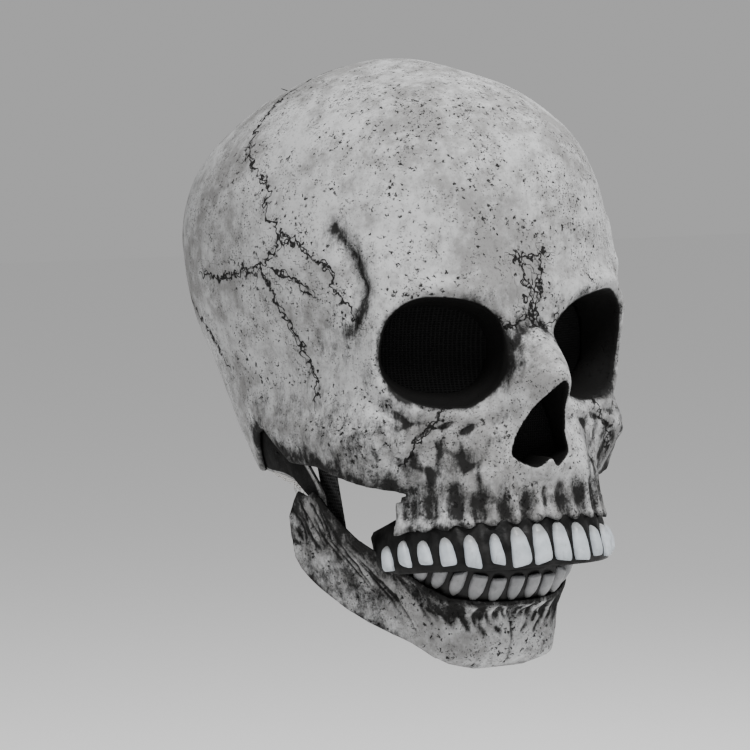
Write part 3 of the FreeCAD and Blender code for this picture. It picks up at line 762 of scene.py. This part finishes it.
def gum_strip(name, arch, end, foot, top, seed):
    """A strip along an arch, bulging between the teeth."""
    size_at, wide_y, n, pitch = arch
    nu, nv = 401, 26
    s, r = grid_points(nu, nv, -end, end, 0, 1)
    low, high = np.interp(np.abs(s), *foot), np.interp(np.abs(s), *top)
    z = low + (high - low) * r
    points, facing = np.empty((len(s), 3)), np.zeros((len(s), 3))
    for j in range(nv):
        # one arch for each row, at the row's middle height, widened or pushed to fit every other height
        row = np.arange(j, len(s), nv)
        half, front = size_at(float(np.mean(z[row])))
        x, y, facing[row, 0], facing[row, 1] = arch_point(half, front, wide_y, n, s[row])
        true_half, true_front = size_at(z[row])
        push = (true_front - front) * np.clip((wide_y - y) / (wide_y - front), 0, 1)
        points[row] = np.column_stack([x * true_half / half, y + push, z[row]])
    edge = np.minimum(r, 1 - r)
    between_teeth = (0.5 + 0.5 * np.cos(2 * math.pi * s / pitch)) ** 2 * np.exp(-((r - 0.5) / 0.34) ** 2)
    bulge = between_teeth + 0.22 * wobble(points, 4, seed) * step01(0, 0.2, edge) - step01(0.14, 0, edge)
    return shell_patch(name, points + facing * bulge[:, None], points - facing * GUM, nu, nv)


upper_gum = gum_strip("upper_gum_rubber", UPPER_ARCH_OF, 91.0, UPPER_FOOT, UPPER_TOP, 31)
place(upper_gum, "skull", "upper_gum")
lower_gum = gum_strip("lower_gum_rubber", LOWER_ARCH_OF, 60.0, LOWER_FOOT, LOWER_TOP, 32)
place(lower_gum, "jaw", "lower_gum")

# ---------------- teeth
# share of the way from root to edge, and share of the full width and depth there
UPPER_WIDE = ([0, 0.04, 0.12, 0.3, 0.6, 0.88, 0.97, 1.0], [0.02, 0.34, 0.58, 0.84, 0.97, 1.0, 0.93, 0.80])
UPPER_DEEP = ([0, 0.05, 0.18, 0.5, 0.8, 0.95, 1.0], [0.05, 0.45, 0.85, 1.0, 0.95, 0.72, 0.50])
LOWER_WIDE = ([0, 0.04, 0.18, 0.38, 0.6, 0.88, 0.97, 1.0], [0.02, 0.28, 0.62, 0.86, 0.95, 0.93, 0.86, 0.74])
LOWER_DEEP = ([0, 0.06, 0.3, 0.6, 0.9, 1.0], [0.05, 0.35, 0.8, 1.0, 0.92, 0.6])
TOOTH_DEPTH = 3.35


def tooth(name, root, edge, outward, width, upper, seed):
    """One cast tooth: a rounded tapered root, a full crown and a worn biting edge."""
    slope = np.random.default_rng(seed).uniform(-0.035, 0.035)
    nu, nv = 40, 30
    across = np.array([-outward[1], outward[0], 0.0])
    a = np.linspace(0, 2 * math.pi, nu, endpoint=False)
    c, s = np.cos(a), np.sin(a)
    r = np.linspace(0, 1, nv)
    wide = np.interp(r, *(UPPER_WIDE if upper else LOWER_WIDE))
    deep = np.interp(r, *(UPPER_DEEP if upper else LOWER_DEEP)) * TOOTH_DEPTH
    rows = []
    for k in range(nv):
        u = np.sign(c) * np.abs(c) ** (2 / 2.7) * width / 2 * wide[k]
        v = np.maximum(np.sign(s) * np.abs(s) ** (2 / 2.4) * deep[k], -0.9 * deep[k])
        v = v + 0.10 * np.cos(6.0 * u / width * 3.1 + seed) * (v > 0) * r[k]
        p = root + (edge - root) * r[k] + across * u[:, None] + outward * v[:, None]
        p[:, 2] += slope * u * r[k] * np.linalg.norm(edge - root) * 0.5
        rows.append(p)
    points = np.concatenate(rows)
    points += 0.12 * np.column_stack([wobble(points, 5, seed + q) for q in (1, 2, 3)])
    points = np.vstack([points, rows[0].mean(0), rows[-1].mean(0)])
    n = nu * nv
    faces = tube_faces(nv, nu).tolist()
    for i in range(nu):
        j = (i + 1) % nu
        faces += [(i, n, j), (n - nu + i, n - nu + j, n + 1)]
    ob = make_mesh(name, points, faces if upper else [face[::-1] for face in faces])
    set_attr(ob, "along", np.concatenate([np.repeat(r, nu), [0, 1]]))
    return ob


upper_teeth, lower_teeth = [], []
for row, body, table, arch, teeth, first_seed in (
    ("upper", "skull", UPPER_TEETH, UPPER_ARCH_OF, upper_teeth, 300),
    ("lower", "jaw", LOWER_TEETH, LOWER_ARCH_OF, lower_teeth, 0),
):
    size_at, wide_y, n, pitch = arch
    for k, (width, root_z, edge_z) in enumerate(table, 1):
        for side, word in SIDES:
            s = side * (k - 0.5) * pitch
            ends = []
            for z in (root_z, edge_z):
                half, front = size_at(z)
                x, y, out_x, out_y = arch_point(float(half), float(front), wide_y, n, s)
                ends.append(np.array([x, y, z]))
            outward, seed = np.array([out_x, out_y, 0]), 40 * k + 7 * side + first_seed
            ob = tooth(f"{row}_tooth_{word}_{k}_cast", *ends, outward, width, row == "upper", seed)
            place(ob, body, f"{row}_tooth_{word}_{k}")
            teeth.append(ob)


# ---------------- gauze behind the eyes and nose
def disc(name, boundary, to_space):
    """A thin, slightly sagging piece: boundary gives its radius by angle, to_space places (u, v, w)."""
    rings, spokes, half_thick = 14, 72, 0.25
    a = np.linspace(0, 2 * math.pi, spokes, endpoint=False)
    radius = boundary(a)
    layers = []
    for w in (-half_thick, half_thick):
        layers.append(to_space(np.zeros(1), np.zeros(1), np.full(1, w)))
        for k in range(1, rings + 1):
            f = k / rings
            level = np.full(spokes, w + 0.9 * (1 - f * f))
            layers.append(to_space(radius * f * np.cos(a), radius * f * np.sin(a), level))
    n = 1 + rings * spokes
    last = 1 + (rings - 1) * spokes
    faces = []
    for first, turn in ((0, 1), (n, -1)):
        for i in range(spokes):
            j = (i + 1) % spokes
            faces.append((first, first + 1 + i, first + 1 + j)[::turn])
            for k in range(rings - 1):
                q0, q1 = first + 1 + k * spokes, first + 1 + (k + 1) * spokes
                faces.append((q0 + i, q1 + i, q1 + j, q0 + j)[::turn])
    for i in range(spokes):
        j = (i + 1) % spokes
        faces.append((last + i, n + last + i, n + last + j, last + j))
    return make_mesh(name, np.vstack(layers), faces)


def eye_reach(a):
    """Radius of the eye gauze by angle."""
    return 1 / ((np.abs(np.cos(a)) / 25.6) ** EYE_POWER + (np.abs(np.sin(a)) / 20.6) ** EYE_POWER) ** 0.4


def eye_space(side):
    """Places gauze points across the back of one socket."""
    def to_space(u, v, w):
        level_u = u * math.cos(EYE_TILT) + v * math.sin(EYE_TILT)
        level_v = -u * math.sin(EYE_TILT) + v * math.cos(EYE_TILT)
        depth = EYE_BACK + 0.4 + w
        x = EYE[0] + eye_across[0] * level_u - eye_out[0] * depth
        y = EYE[1] + eye_across[1] * level_u - eye_out[1] * depth
        return np.column_stack([x * side, y, EYE[2] + level_v])
    return to_space


NOSE_MIDDLE_Z = 24.0


def nose_reach(a):
    """How far the nasal opening, with its margin, reaches from its middle by angle."""
    r = np.linspace(0, 45, 451)[:, None]
    x, z = np.abs(r * np.cos(a)), NOSE_MIDDLE_Z + r * np.sin(a)
    outside = np.maximum((x - pear_half_width(z)) * PEAR_SLOPE, PEAR_FOOT - z) > 1.4
    return r[np.argmax(outside, 0), 0]


def nose_space(u, v, w):
    return np.column_stack([u, w - 102.7, NOSE_MIDDLE_Z + v])


black_gauzes = []
for side, word in SIDES:
    gauze = disc(f"eye_gauze_cloth_{word}", eye_reach, eye_space(side))
    place(gauze, "skull", f"eye_gauze_{word}")
    black_gauzes.append(gauze)
gauze = disc("nose_gauze_cloth", nose_reach, nose_space)
place(gauze, "skull", "nose_gauze")
black_gauzes.append(gauze)

# ---------------- hinge webs, their gauze and loose threads
# the web's outline and middle in (y, z)
WEB_EDGE = [
    (17, 2), (15, 10), (7, 27), (-7, 29), (-18, 22), (-31, 15), (-40, 6), (-46, -3), (-44, -10), (-37, -9),
    (-31, -2), (-14, 2),
]
WEB_MIDDLE = (-10.0, 12.0)
WEB, WEB_GAUZE = 1.6, 0.45       # thickness
# (y, z) of the web gauze's upper and lower border
GAUZE_TOP = [(12, 10.5), (-6, 11.5), (-14, 11), (-30, 6), (-42, -2)]
GAUZE_FOOT = [(12, 0.5), (-3, -0.5), (-12, -1.5), (-28, -4), (-36, -11.5)]
THREAD_TOP = ([-36, -28, -12, 12], [-9, -2.8, -0.4, 1.4])


def cranium_x(y, z):
    """Half width of the braincase at y and z arrays."""
    squared, wide_y, ratio_ahead, ratio_behind, n_ahead, n_behind = cranium_cols(np.atleast_1d(z)).T
    along = np.abs(y - wide_y) * np.where(y < wide_y, ratio_ahead, ratio_behind)
    n = np.where(y < wide_y, n_ahead, n_behind)
    return np.maximum(squared ** (n / 2) - along**n, 1.0) ** (1 / n)


def cross_hinge(ob, side):
    """Bakes a piece's placement into its mesh."""
    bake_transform(ob)


def hinge_web(name, side):
    """A thin wall inside the braincase's rear corner, from rings that shrink towards its middle."""
    around, rings = 188, 16
    edge = smooth_path(WEB_EDGE + WEB_EDGE[:3], 220)[:around]
    f = np.linspace(0.02, 1, rings)
    grid = np.array(WEB_MIDDLE) + (edge[:, None, :] - np.array(WEB_MIDDLE)) * f[None, :, None]
    yz = grid.reshape(-1, 2)
    x = cranium_x(yz[:, 0], yz[:, 1]) - LINED - 0.1
    from_middle = np.tile(f, around)
    folds = 0.35 * wobble(np.column_stack([x, yz]), 7, 140) * step01(1.0, 0.8, from_middle)
    x = x + np.minimum(folds - 0.3, 0)
    m = len(yz)
    faces = [grid_faces(around, rings, 0, flip=side > 0, wrap=True)]
    faces.append(grid_faces(around, rings, m, flip=side < 0, wrap=True))
    i = np.arange(around) * rings
    j = np.roll(i, -1)
    for k, turn in ((rings - 1, side > 0), (0, side < 0)):
        border = np.stack([i + k, j + k, j + k + m, i + k + m], -1)
        faces.append(border if turn else border[:, ::-1])
    points = np.vstack([np.column_stack([x * side, yz]), np.column_stack([(x - WEB) * side, yz])])
    ob = make_mesh(name, points, np.concatenate(faces))
    shade = step01(0.965, 0.88, from_middle)
    dark = np.concatenate([0.80 * shade, np.ones(m)])
    paint_plain(ob, dark, np.concatenate([0.04 + 0.50 * shade, np.ones(m)]), 0.0)
    return ob


def web_gauze(name, side):
    """A strip of gauze inside the web's lower border, with a frayed lower edge."""
    nu, nv = 161, 12
    s, r = grid_points(nu, nv, 0, 1, 0, 1)
    top, foot = [[np.interp(s, np.linspace(0, 1, 5), values) for values in np.array(border, float).T]
                 for border in (GAUZE_TOP, GAUZE_FOOT)]
    frayed = 0.9 * wobble(np.column_stack([s * 60, 0 * s, 0 * s]), 1.6, 55 + side) * step01(0.6, 1.0, r)
    y = top[0] * (1 - r) + foot[0] * r
    z = top[1] * (1 - r) + foot[1] * r + frayed
    ripple = 0.2 * wobble(np.column_stack([s * 60, r * 10, s]), 5, 58)
    x = cranium_x(y, np.maximum(z, -13)) - LINED - WEB - 0.7 + ripple
    outer_points = np.column_stack([x * side, y, z])
    return shell_patch(name, outer_points, outer_points - [WEB_GAUZE * side, 0, 0], nu, nv)


def loose_threads(name, side):
    """Fifteen thin tapered threads that hang from the gauze's frayed edge."""
    rng = np.random.default_rng(9 if side > 0 else 10)
    spots, around = 9, 5
    turn = 2 * math.pi / around
    points, faces = [], []
    for k in range(15):
        ahead = k < 11
        y = rng.uniform(-33, -16) if ahead else rng.uniform(-12, 6)
        z = np.interp(y, *THREAD_TOP) + 0.6
        drop = rng.uniform(2.5, 7) if ahead else rng.uniform(1.5, 3)
        x = float(cranium_x(np.array([y]), np.array([z]))[0]) - LINED - WEB - 0.9
        path = smooth_path([(x, y, z), (x - rng.uniform(0, 1.2), y + rng.uniform(-2, 2), z - drop * 0.5),
                            (x - rng.uniform(0, 2), y + rng.uniform(-3.5, 3.5), z - drop)], spots)
        first = len(points)
        for q, point in enumerate(path):
            radius = 0.22 - 0.012 * q
            for c in range(around):
                points.append(point + radius * np.array([math.cos(turn * c), math.sin(turn * c), 0]))
        faces += (tube_faces(spots, around) + first).tolist()
        last = len(points)
        faces += [range(first + around - 1, first - 1, -1), range(last - around, last)]
    return make_mesh(name, np.array(points) * [side, 1, 1], faces)


hinge_webs, white_pieces, bands = [], [], []
for side, word in SIDES:
    web = hinge_web(f"hinge_web_latex_{word}", side)
    cross_hinge(web, side)
    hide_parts(f"hinge_web_{word}")
    hinge_webs.append(web)
    cloth = web_gauze(f"web_gauze_cloth_{word}", side)
    cross_hinge(cloth, side)
    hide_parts(f"web_gauze_{word}")
    threads = loose_threads(f"frayed_threads_{word}", side)
    cross_hinge(threads, side)
    white_pieces += [cloth, threads]

# ---------------- elastic bands and foam pads
for side, word in SIDES:
    nu, nv = 61, 29
    s, r = grid_points(nu, nv, 0, 1, -1, 1)
    half_thick = 0.5 + 0.12 * np.cos(r * 7 * math.pi) + 0.05 * np.cos(s * 120)
    x, y, z = 72 - 13 * s, -43 + 7 * r, 30 - 64 * s
    band = shell_patch(f"jaw_elastic_woven_{word}", np.column_stack([(x + half_thick) * side, y, z]),
                       np.column_stack([(x - half_thick) * side, y, z]), nu, nv)
    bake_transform(band)
    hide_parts(f"jaw_elastic_{word}")
    bands.append(band)


def pillow(name, face, gap, toward, nu, nv, thick):
    """A foam pad with rounded borders, gap inside a grid of points and on the side that toward shows."""
    inward = grid_normals(face, nu, nv)
    inward *= np.sign(inward @ np.array(toward, float))[:, None]
    face = face + inward * gap
    u, v = grid_points(nu, nv, -1, 1, -1, 1)
    full = np.sqrt(np.clip(1 - np.abs(u) ** 9, 0, 1) * np.clip(1 - np.abs(v) ** 9, 0, 1))
    puff = 0.25 * wobble(face, 14, 7)
    outer_points = face + inward * (thick * 0.5 * (1 - full) + 0.3)[:, None]
    inner_points = face + inward * (thick * (0.5 + 0.5 * full) - 0.3 + puff)[:, None]
    return shell_patch(name, outer_points, inner_points, nu, nv)


def cranium_front(x, z, inset):
    """y of the braincase's front, inset from the skin."""
    squared, wide_y, ratio, _, n, _ = cranium_cols(z).T
    half = np.sqrt(squared)
    across = np.abs(x) / (half - inset)
    return wide_y - (half / ratio - inset) * np.clip(1 - across**n, 0, 1) ** (1 / n)


def cranium_top(x, y):
    """Height of the braincase's skin over points near the crown, to a fifth of a millimetre."""
    levels = np.arange(140.0, CROWN, 0.2)
    z = np.full(len(x), levels[0])
    for level, row in zip(levels, cranium_cols(levels)):
        squared, wide_y, ratio_ahead, ratio_behind, n_ahead, n_behind = row
        along = y - wide_y
        n = np.where(along < 0, n_ahead, n_behind)
        ratio = np.where(along < 0, ratio_ahead, ratio_behind)
        inside = np.abs(x) ** n + (np.abs(along) * ratio) ** n < max(squared, 0) ** (n / 2)
        z = np.where(inside, level, z)
    return z


nu, nv = 81, 29
x, z = grid_points(nu, nv, -51, 51, 103, 129)
brow_face = np.column_stack([x, cranium_front(x, z, 3.4), z])
brow_pad = pillow("brow_pad_foam", brow_face, 0.0, (0, 1, 0), nu, nv, 9.0)
chin_face = jaw_plan(*grid_points(nu, nv, -1.5, 1.5, -70, -59))
chin_pad = pillow("chin_pad_foam", chin_face, 3.6, (0, 1, 0), nu, nv, 8.5)
nu, nv = 61, 61
u, v = grid_points(nu, nv, -1, 1, -1, 1)
x, y = 45.0 * u * np.sqrt(1 - v**2 / 2), 45.0 * v * np.sqrt(1 - u**2 / 2)
crown_pad = pillow("crown_pad_foam", np.column_stack([x, y, cranium_top(x, y)]), 4.2, (0, 0, -1), nu, nv, 9.0)
pads = [brow_pad, chin_pad, crown_pad]
for pad, body, node in zip(pads, ("skull", "jaw", "skull"), ("brow_pad", "chin_pad", "crown_pad")):
    place(pad, body, node)


# ---------------- materials
class Nodes:
    """Small helper to wire a principled material."""

    def __init__(self, name):
        self.mat = bpy.data.materials.new(name)
        self.mat.use_nodes = True
        self.tree = self.mat.node_tree
        self.shader = self.tree.nodes["Principled BSDF"]
        self.coords = self.tree.nodes.new("ShaderNodeTexCoord").outputs["Object"]

    def put(self, socket, value):
        if hasattr(value, "is_output"):
            self.tree.links.new(value, socket)
        else:
            socket.default_value = value

    def math(self, operation, *values):
        n = self.tree.nodes.new("ShaderNodeMath")
        n.operation = operation
        for socket, value in zip(n.inputs, values):
            self.put(socket, value)
        return n.outputs[0]

    def ramp(self, value, low, high, a=0.0, b=1.0):
        """a below low, b above high and a smooth change between them."""
        n = self.tree.nodes.new("ShaderNodeMapRange")
        n.interpolation_type = "SMOOTHSTEP"
        for socket, setting in zip(n.inputs, (value, low, high, a, b)):
            self.put(socket, setting)
        return n.outputs[0]

    def noise(self, scale, detail=3.0, rough=0.55, stretch=None, output=0):
        n = self.tree.nodes.new("ShaderNodeTexNoise")
        n.inputs["Scale"].default_value = scale
        n.inputs["Detail"].default_value = detail
        n.inputs["Roughness"].default_value = rough
        where = self.coords
        if stretch:
            mapping = self.tree.nodes.new("ShaderNodeMapping")
            mapping.inputs["Scale"].default_value = stretch
            self.put(mapping.inputs["Vector"], where)
            where = mapping.outputs[0]
        self.put(n.inputs["Vector"], where)
        return n.outputs[output]

    def cells(self, scale, bend=0.0):
        """Distance from the middles of Voronoi cells, bent by noise of that many metres."""
        n = self.tree.nodes.new("ShaderNodeTexVoronoi")
        n.inputs["Scale"].default_value = scale
        where = self.coords
        if bend:
            shift = self.tree.nodes.new("ShaderNodeVectorMath")
            shift.operation = "MULTIPLY_ADD"
            self.put(shift.inputs[0], self.noise(scale * 1.6, 3, 0.6, output="Color"))
            shift.inputs[1].default_value = (bend, bend, bend)
            self.put(shift.inputs[2], where)
            where = shift.outputs[0]
        self.put(n.inputs["Vector"], where)
        return n.outputs["Distance"]

    def dots(self, scale, bend, patch_scale, spread, size):
        """Ragged dots that come and go in size with a patch noise."""
        ragged = self.math("MULTIPLY", self.noise(patch_scale, 2), spread)
        return self.ramp(self.math("SUBTRACT", self.cells(scale, bend), ragged), 0.0, size, 1.0, 0.0)

    def attr(self, name):
        n = self.tree.nodes.new("ShaderNodeAttribute")
        n.attribute_name = name
        return n.outputs["Fac"]

    def moved(self, name, noise, amount):
        """An attribute moved up and down by noise, half the amount each way."""
        return self.math("MULTIPLY_ADD", self.math("SUBTRACT", noise, 0.5), amount, self.attr(name))

    def mix(self, amount, a, b):
        n = self.tree.nodes.new("ShaderNodeMix")
        n.data_type = "RGBA"
        self.put(n.inputs["Factor"], amount)
        self.put(n.inputs["A"], a)
        self.put(n.inputs["B"], b)
        return n.outputs["Result"]

    def finish(self, color, rough, height=None, strength=0.5, distance=0.001, **more):
        self.put(self.shader.inputs["Base Color"], color)
        self.put(self.shader.inputs["Roughness"], rough)
        for key, value in more.items():
            self.shader.inputs[key.replace("_", " ")].default_value = value
        if height is not None:
            n = self.tree.nodes.new("ShaderNodeBump")
            n.inputs["Strength"].default_value = strength
            n.inputs["Distance"].default_value = distance
            self.put(n.inputs["Height"], height)
            self.put(self.shader.inputs["Normal"], n.outputs[0])
        return self.mat


def grey(v, warm=0.0):
    return (v * (1 + warm), v, v * (1 - warm), 1.0)


BONE_LIGHT, BONE_DARK = grey(0.47, -0.004), grey(0.22, 0.012)


def bone_latex():
    """Grey bone paint with sutures, pits, specks, dark airbrushing and painted shade, from the painted
    attributes.
    """
    m = Nodes("bone_latex")
    small = m.noise(130, 5, 0.65)
    tone = m.math("ADD", m.math("MULTIPLY", m.noise(22, 4, 0.55), 0.55), m.math("MULTIPLY", small, 0.45))
    color = m.mix(m.ramp(tone, 0.40, 0.60), BONE_DARK, BONE_LIGHT)
    color = m.mix(m.ramp(m.noise(700, 4, 0.6), 0.54, 0.70, 0.0, 0.45), color, grey(0.13, 0.02))
    # sutures: two wandering lines that split and meet, drawn with a zigzag
    line_a = m.math("ABSOLUTE", m.moved("suture_a", m.noise(300, 1.5, 0.5), 11.0))
    line_b = m.math("ABSOLUTE", m.moved("suture_b", m.noise(230, 1.5, 0.5), 14.0))
    strong = m.ramp(line_a, 0.45, 1.05, 1.0, 0.0)
    weak = m.math("MULTIPLY", m.ramp(line_b, 0.36, 0.90, 1.0, 0.0), m.ramp(m.noise(90, 2), 0.38, 0.52))
    suture = m.math("MAXIMUM", strong, weak)
    color = m.mix(m.ramp(m.attr("suture_near"), 0.0, 5.0, 0.30, 0.0), color, grey(0.12, 0.02))
    # pits and specks, thicker on the brow and round the eyes
    where = m.math("MULTIPLY", m.attr("pits"), m.ramp(m.noise(48, 4, 0.65), 0.40, 0.58))
    pits = m.math("MULTIPLY", m.dots(330, 0.0045, 120, 0.30, 0.14), m.ramp(where, 0.10, 0.40))
    speckled = m.ramp(m.noise(75, 4, 0.65), 0.42, 0.56)
    specks = m.math("MULTIPLY", m.dots(760, 0.0020, 200, 0.34, 0.18), speckled)
    color = m.mix(m.math("MULTIPLY", specks, 0.90), color, grey(0.02, 0.03))
    color = m.mix(m.math("MULTIPLY", pits, 0.95), color, grey(0.008, 0.03))
    color = m.mix(m.math("MULTIPLY", suture, 0.96), color, grey(0.006, 0.03))
    # dark airbrush and painted shade, broken up so that bone shows through
    cloudy, streaky = m.noise(110, 7, 0.8), m.noise(230, 5, 0.75, stretch=(1.0, 1.0, 0.30))
    broken = m.math("MULTIPLY_ADD", streaky, 0.45, m.math("MULTIPLY", cloudy, 0.55))
    color = m.mix(m.ramp(m.moved("airbrush_and_shade", broken, 3.2), 0.16, 1.0, 0.0, 0.97), color, grey(0.006, 0.04))
    # near black from the dark attribute: black paint in the sockets and painted shade on the inside
    color = m.mix(m.ramp(m.moved("dark", m.noise(150, 4, 0.7), 0.5), 0.25, 0.80), color, grey(0.005, 0.03))
    height = m.math("ADD", m.math("MULTIPLY", small, 0.30), m.math("MULTIPLY", m.noise(330, 4, 0.6), 0.22))
    for sunk, depth in ((pits, 0.55), (specks, 0.12), (suture, 0.75)):
        height = m.math("SUBTRACT", height, m.math("MULTIPLY", sunk, depth))
    return m.finish(color, m.ramp(small, 0.3, 0.7, 0.62, 0.78), height, 0.75, 0.0011, Specular_IOR_Level=0.06)


def gum_latex():
    """Black latex with a slight sheen."""
    m = Nodes("black_gum_latex")
    n = m.noise(160, 4, 0.6)
    color = m.mix(m.ramp(n, 0.4, 0.7), grey(0.004), grey(0.012, 0.03))
    rough = m.ramp(n, 0.3, 0.7, 0.38, 0.55)
    return m.finish(color, rough, m.noise(300, 3), 0.35, 0.0008, Specular_IOR_Level=0.18)


def tooth_latex(name, light, shaded, root, neck):
    """Tooth paint: two tones, streaks down the tooth and a dark neck."""
    m = Nodes(name)
    n = m.noise(110, 4, 0.6)
    streak = m.noise(90, 4, 0.65, stretch=(5.0, 5.0, 1.0))
    color = m.mix(m.ramp(n, 0.35, 0.65), light, shaded)
    color = m.mix(m.ramp(streak, 0.55, 0.75, 0.0, 0.45), color, root)
    color = m.mix(m.ramp(m.moved("along", n, 0.5), 0.02, 0.40, 0.85, 0.0), color, neck)
    color = m.mix(m.ramp(m.noise(520, 3, 0.6), 0.60, 0.72, 0.0, 0.35), color, root)
    height = m.math("ADD", m.math("MULTIPLY", streak, 0.6), n)
    return m.finish(color, m.ramp(n, 0.3, 0.7, 0.40, 0.55), height, 0.30, 0.0008)


def woven(name, thread, gap, pitch, fuzz=0.4):
    """Cloth with crossed threads pitch metres apart."""
    m = Nodes(name)
    split = m.tree.nodes.new("ShaderNodeSeparateXYZ")
    m.put(split.inputs[0], m.coords)
    turn = 2 * math.pi / pitch
    warp = m.math("SINE", m.math("MULTIPLY", m.math("ADD", split.outputs[0], split.outputs[1]), turn))
    weft = m.math("SINE", m.math("MULTIPLY", split.outputs[2], turn))
    net = m.math("MAXIMUM", warp, weft)
    color = m.mix(m.ramp(net, 0.1, 0.8), gap, thread)
    color = m.mix(m.ramp(m.noise(900, 3), 0.4, 0.7, 0.0, fuzz), color, grey(0.5 * thread[1]))
    return m.finish(color, 0.9, net, 0.6, 0.0003, Specular_IOR_Level=0.1)


def foam():
    """Black open-cell foam."""
    m = Nodes("foam_open_cell")
    cells = m.cells(900)
    color = m.mix(m.ramp(cells, 0.1, 0.6), grey(0.02), grey(0.055, -0.03))
    return m.finish(color, 0.95, cells, 0.5, 0.0006)


tabs = [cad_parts[f"{row}_elastic_tab_{word}"] for _, word in SIDES for row in ("upper", "lower")]
for tab in tabs:
    tab.data.materials.clear()
for pieces, material in (
    ([skull, jaw] + hinge_webs, bone_latex()),
    ([upper_gum, lower_gum] + tabs, gum_latex()),
    (upper_teeth, tooth_latex("upper_tooth_latex", (0.49, 0.525, 0.56, 1), (0.37, 0.405, 0.435, 1),
                              (0.22, 0.22, 0.22, 1), (0.16, 0.16, 0.155, 1))),
    # painted shade: the lower teeth get a darker copy of the tooth paint
    (lower_teeth, tooth_latex("lower_tooth_shaded_latex", (0.21, 0.21, 0.215, 1), (0.14, 0.143, 0.147, 1),
                              (0.08, 0.08, 0.08, 1), (0.06, 0.06, 0.058, 1))),
    (black_gauzes, woven("black_gauze_weave", grey(0.009), grey(0.002), 0.0011)),
    (white_pieces, woven("white_gauze_weave", grey(0.70, 0.03), grey(0.30, 0.04), 0.0009, fuzz=0.3)),
    (bands, woven("elastic_weave", grey(0.05), grey(0.012), 0.0016)),
    (pads, foam()),
):
    for piece in pieces:
        piece.data.materials.append(material)

# ---------------- camera, light and floor
AZIMUTH, ELEVATION = math.radians(-35), math.radians(5)
DISTANCE, FRAME_WIDTH, SENSOR = 2000.0, 351.0, 36.0
FLOOR_Z, FLOOR_HALF = -0.32, 6
right = np.array([math.cos(AZIMUTH), math.sin(AZIMUTH), 0.0])
toward = np.array([math.sin(AZIMUTH) * math.cos(ELEVATION), -math.cos(AZIMUTH) * math.cos(ELEVATION),
                   math.sin(ELEVATION)])
up = np.cross(toward, right)
target = right * -8.9 + up * 43.1


def add(name, data):
    ob = bpy.data.objects.new(name, data)
    bpy.context.scene.collection.objects.link(ob)
    return ob


def aim(ob, position, x_axis, y_axis, z_axis):
    basis = np.eye(4)
    basis[:3, 0], basis[:3, 1], basis[:3, 2] = x_axis, y_axis, z_axis
    basis[:3, 3] = np.asarray(position) * MM
    ob.matrix_world = mathutils.Matrix([list(map(float, row)) for row in basis])


def area_light(name, position, size, power):
    """A round light that faces the middle of the mask."""
    data = bpy.data.lights.new(name, "AREA")
    data.shape, data.size, data.energy = "DISK", size, power
    away = np.asarray(position, float) - np.array([0.0, -30.0, 40.0])
    z = away / np.linalg.norm(away)
    x = np.cross([0, 0, 1.0], z)
    x /= np.linalg.norm(x)
    aim(add(name, data), position, x, np.cross(z, x), z)


camera_data = bpy.data.cameras.new("camera")
camera_data.lens, camera_data.sensor_width = SENSOR * DISTANCE / FRAME_WIDTH, SENSOR
camera_data.clip_end = 50.0
camera = add("camera", camera_data)
aim(camera, target + toward * DISTANCE, right, up, toward)
bpy.context.scene.camera = camera
area_light("key", target + toward * 900 + right * 450 + up * 1350, 0.7, 44.0)
area_light("fill", target + toward * 1200 - right * 1100 + up * 250, 1.2, 3.5)
area_light("rim", -toward * 700 + right * 500 + up * 900, 0.6, 8.0)
world = bpy.data.worlds.new("studio")
bpy.context.scene.world = world
world.use_nodes = True
world.node_tree.nodes["Background"].inputs["Color"].default_value = (1, 1, 1, 1)
world.node_tree.nodes["Background"].inputs["Strength"].default_value = 0.42

floor_data = bpy.data.meshes.new("floor")
corners = [(x * FLOOR_HALF, y * FLOOR_HALF, FLOOR_Z) for x, y in ((-1, -1), (1, -1), (1, 1), (-1, 1))]
floor_data.from_pydata(corners, [], [(0, 1, 2, 3)])
floor_data.materials.append(Nodes("pale_floor").finish((0.95, 0.95, 0.95, 1), 0.9, Specular_IOR_Level=0.0))
add("floor", floor_data)
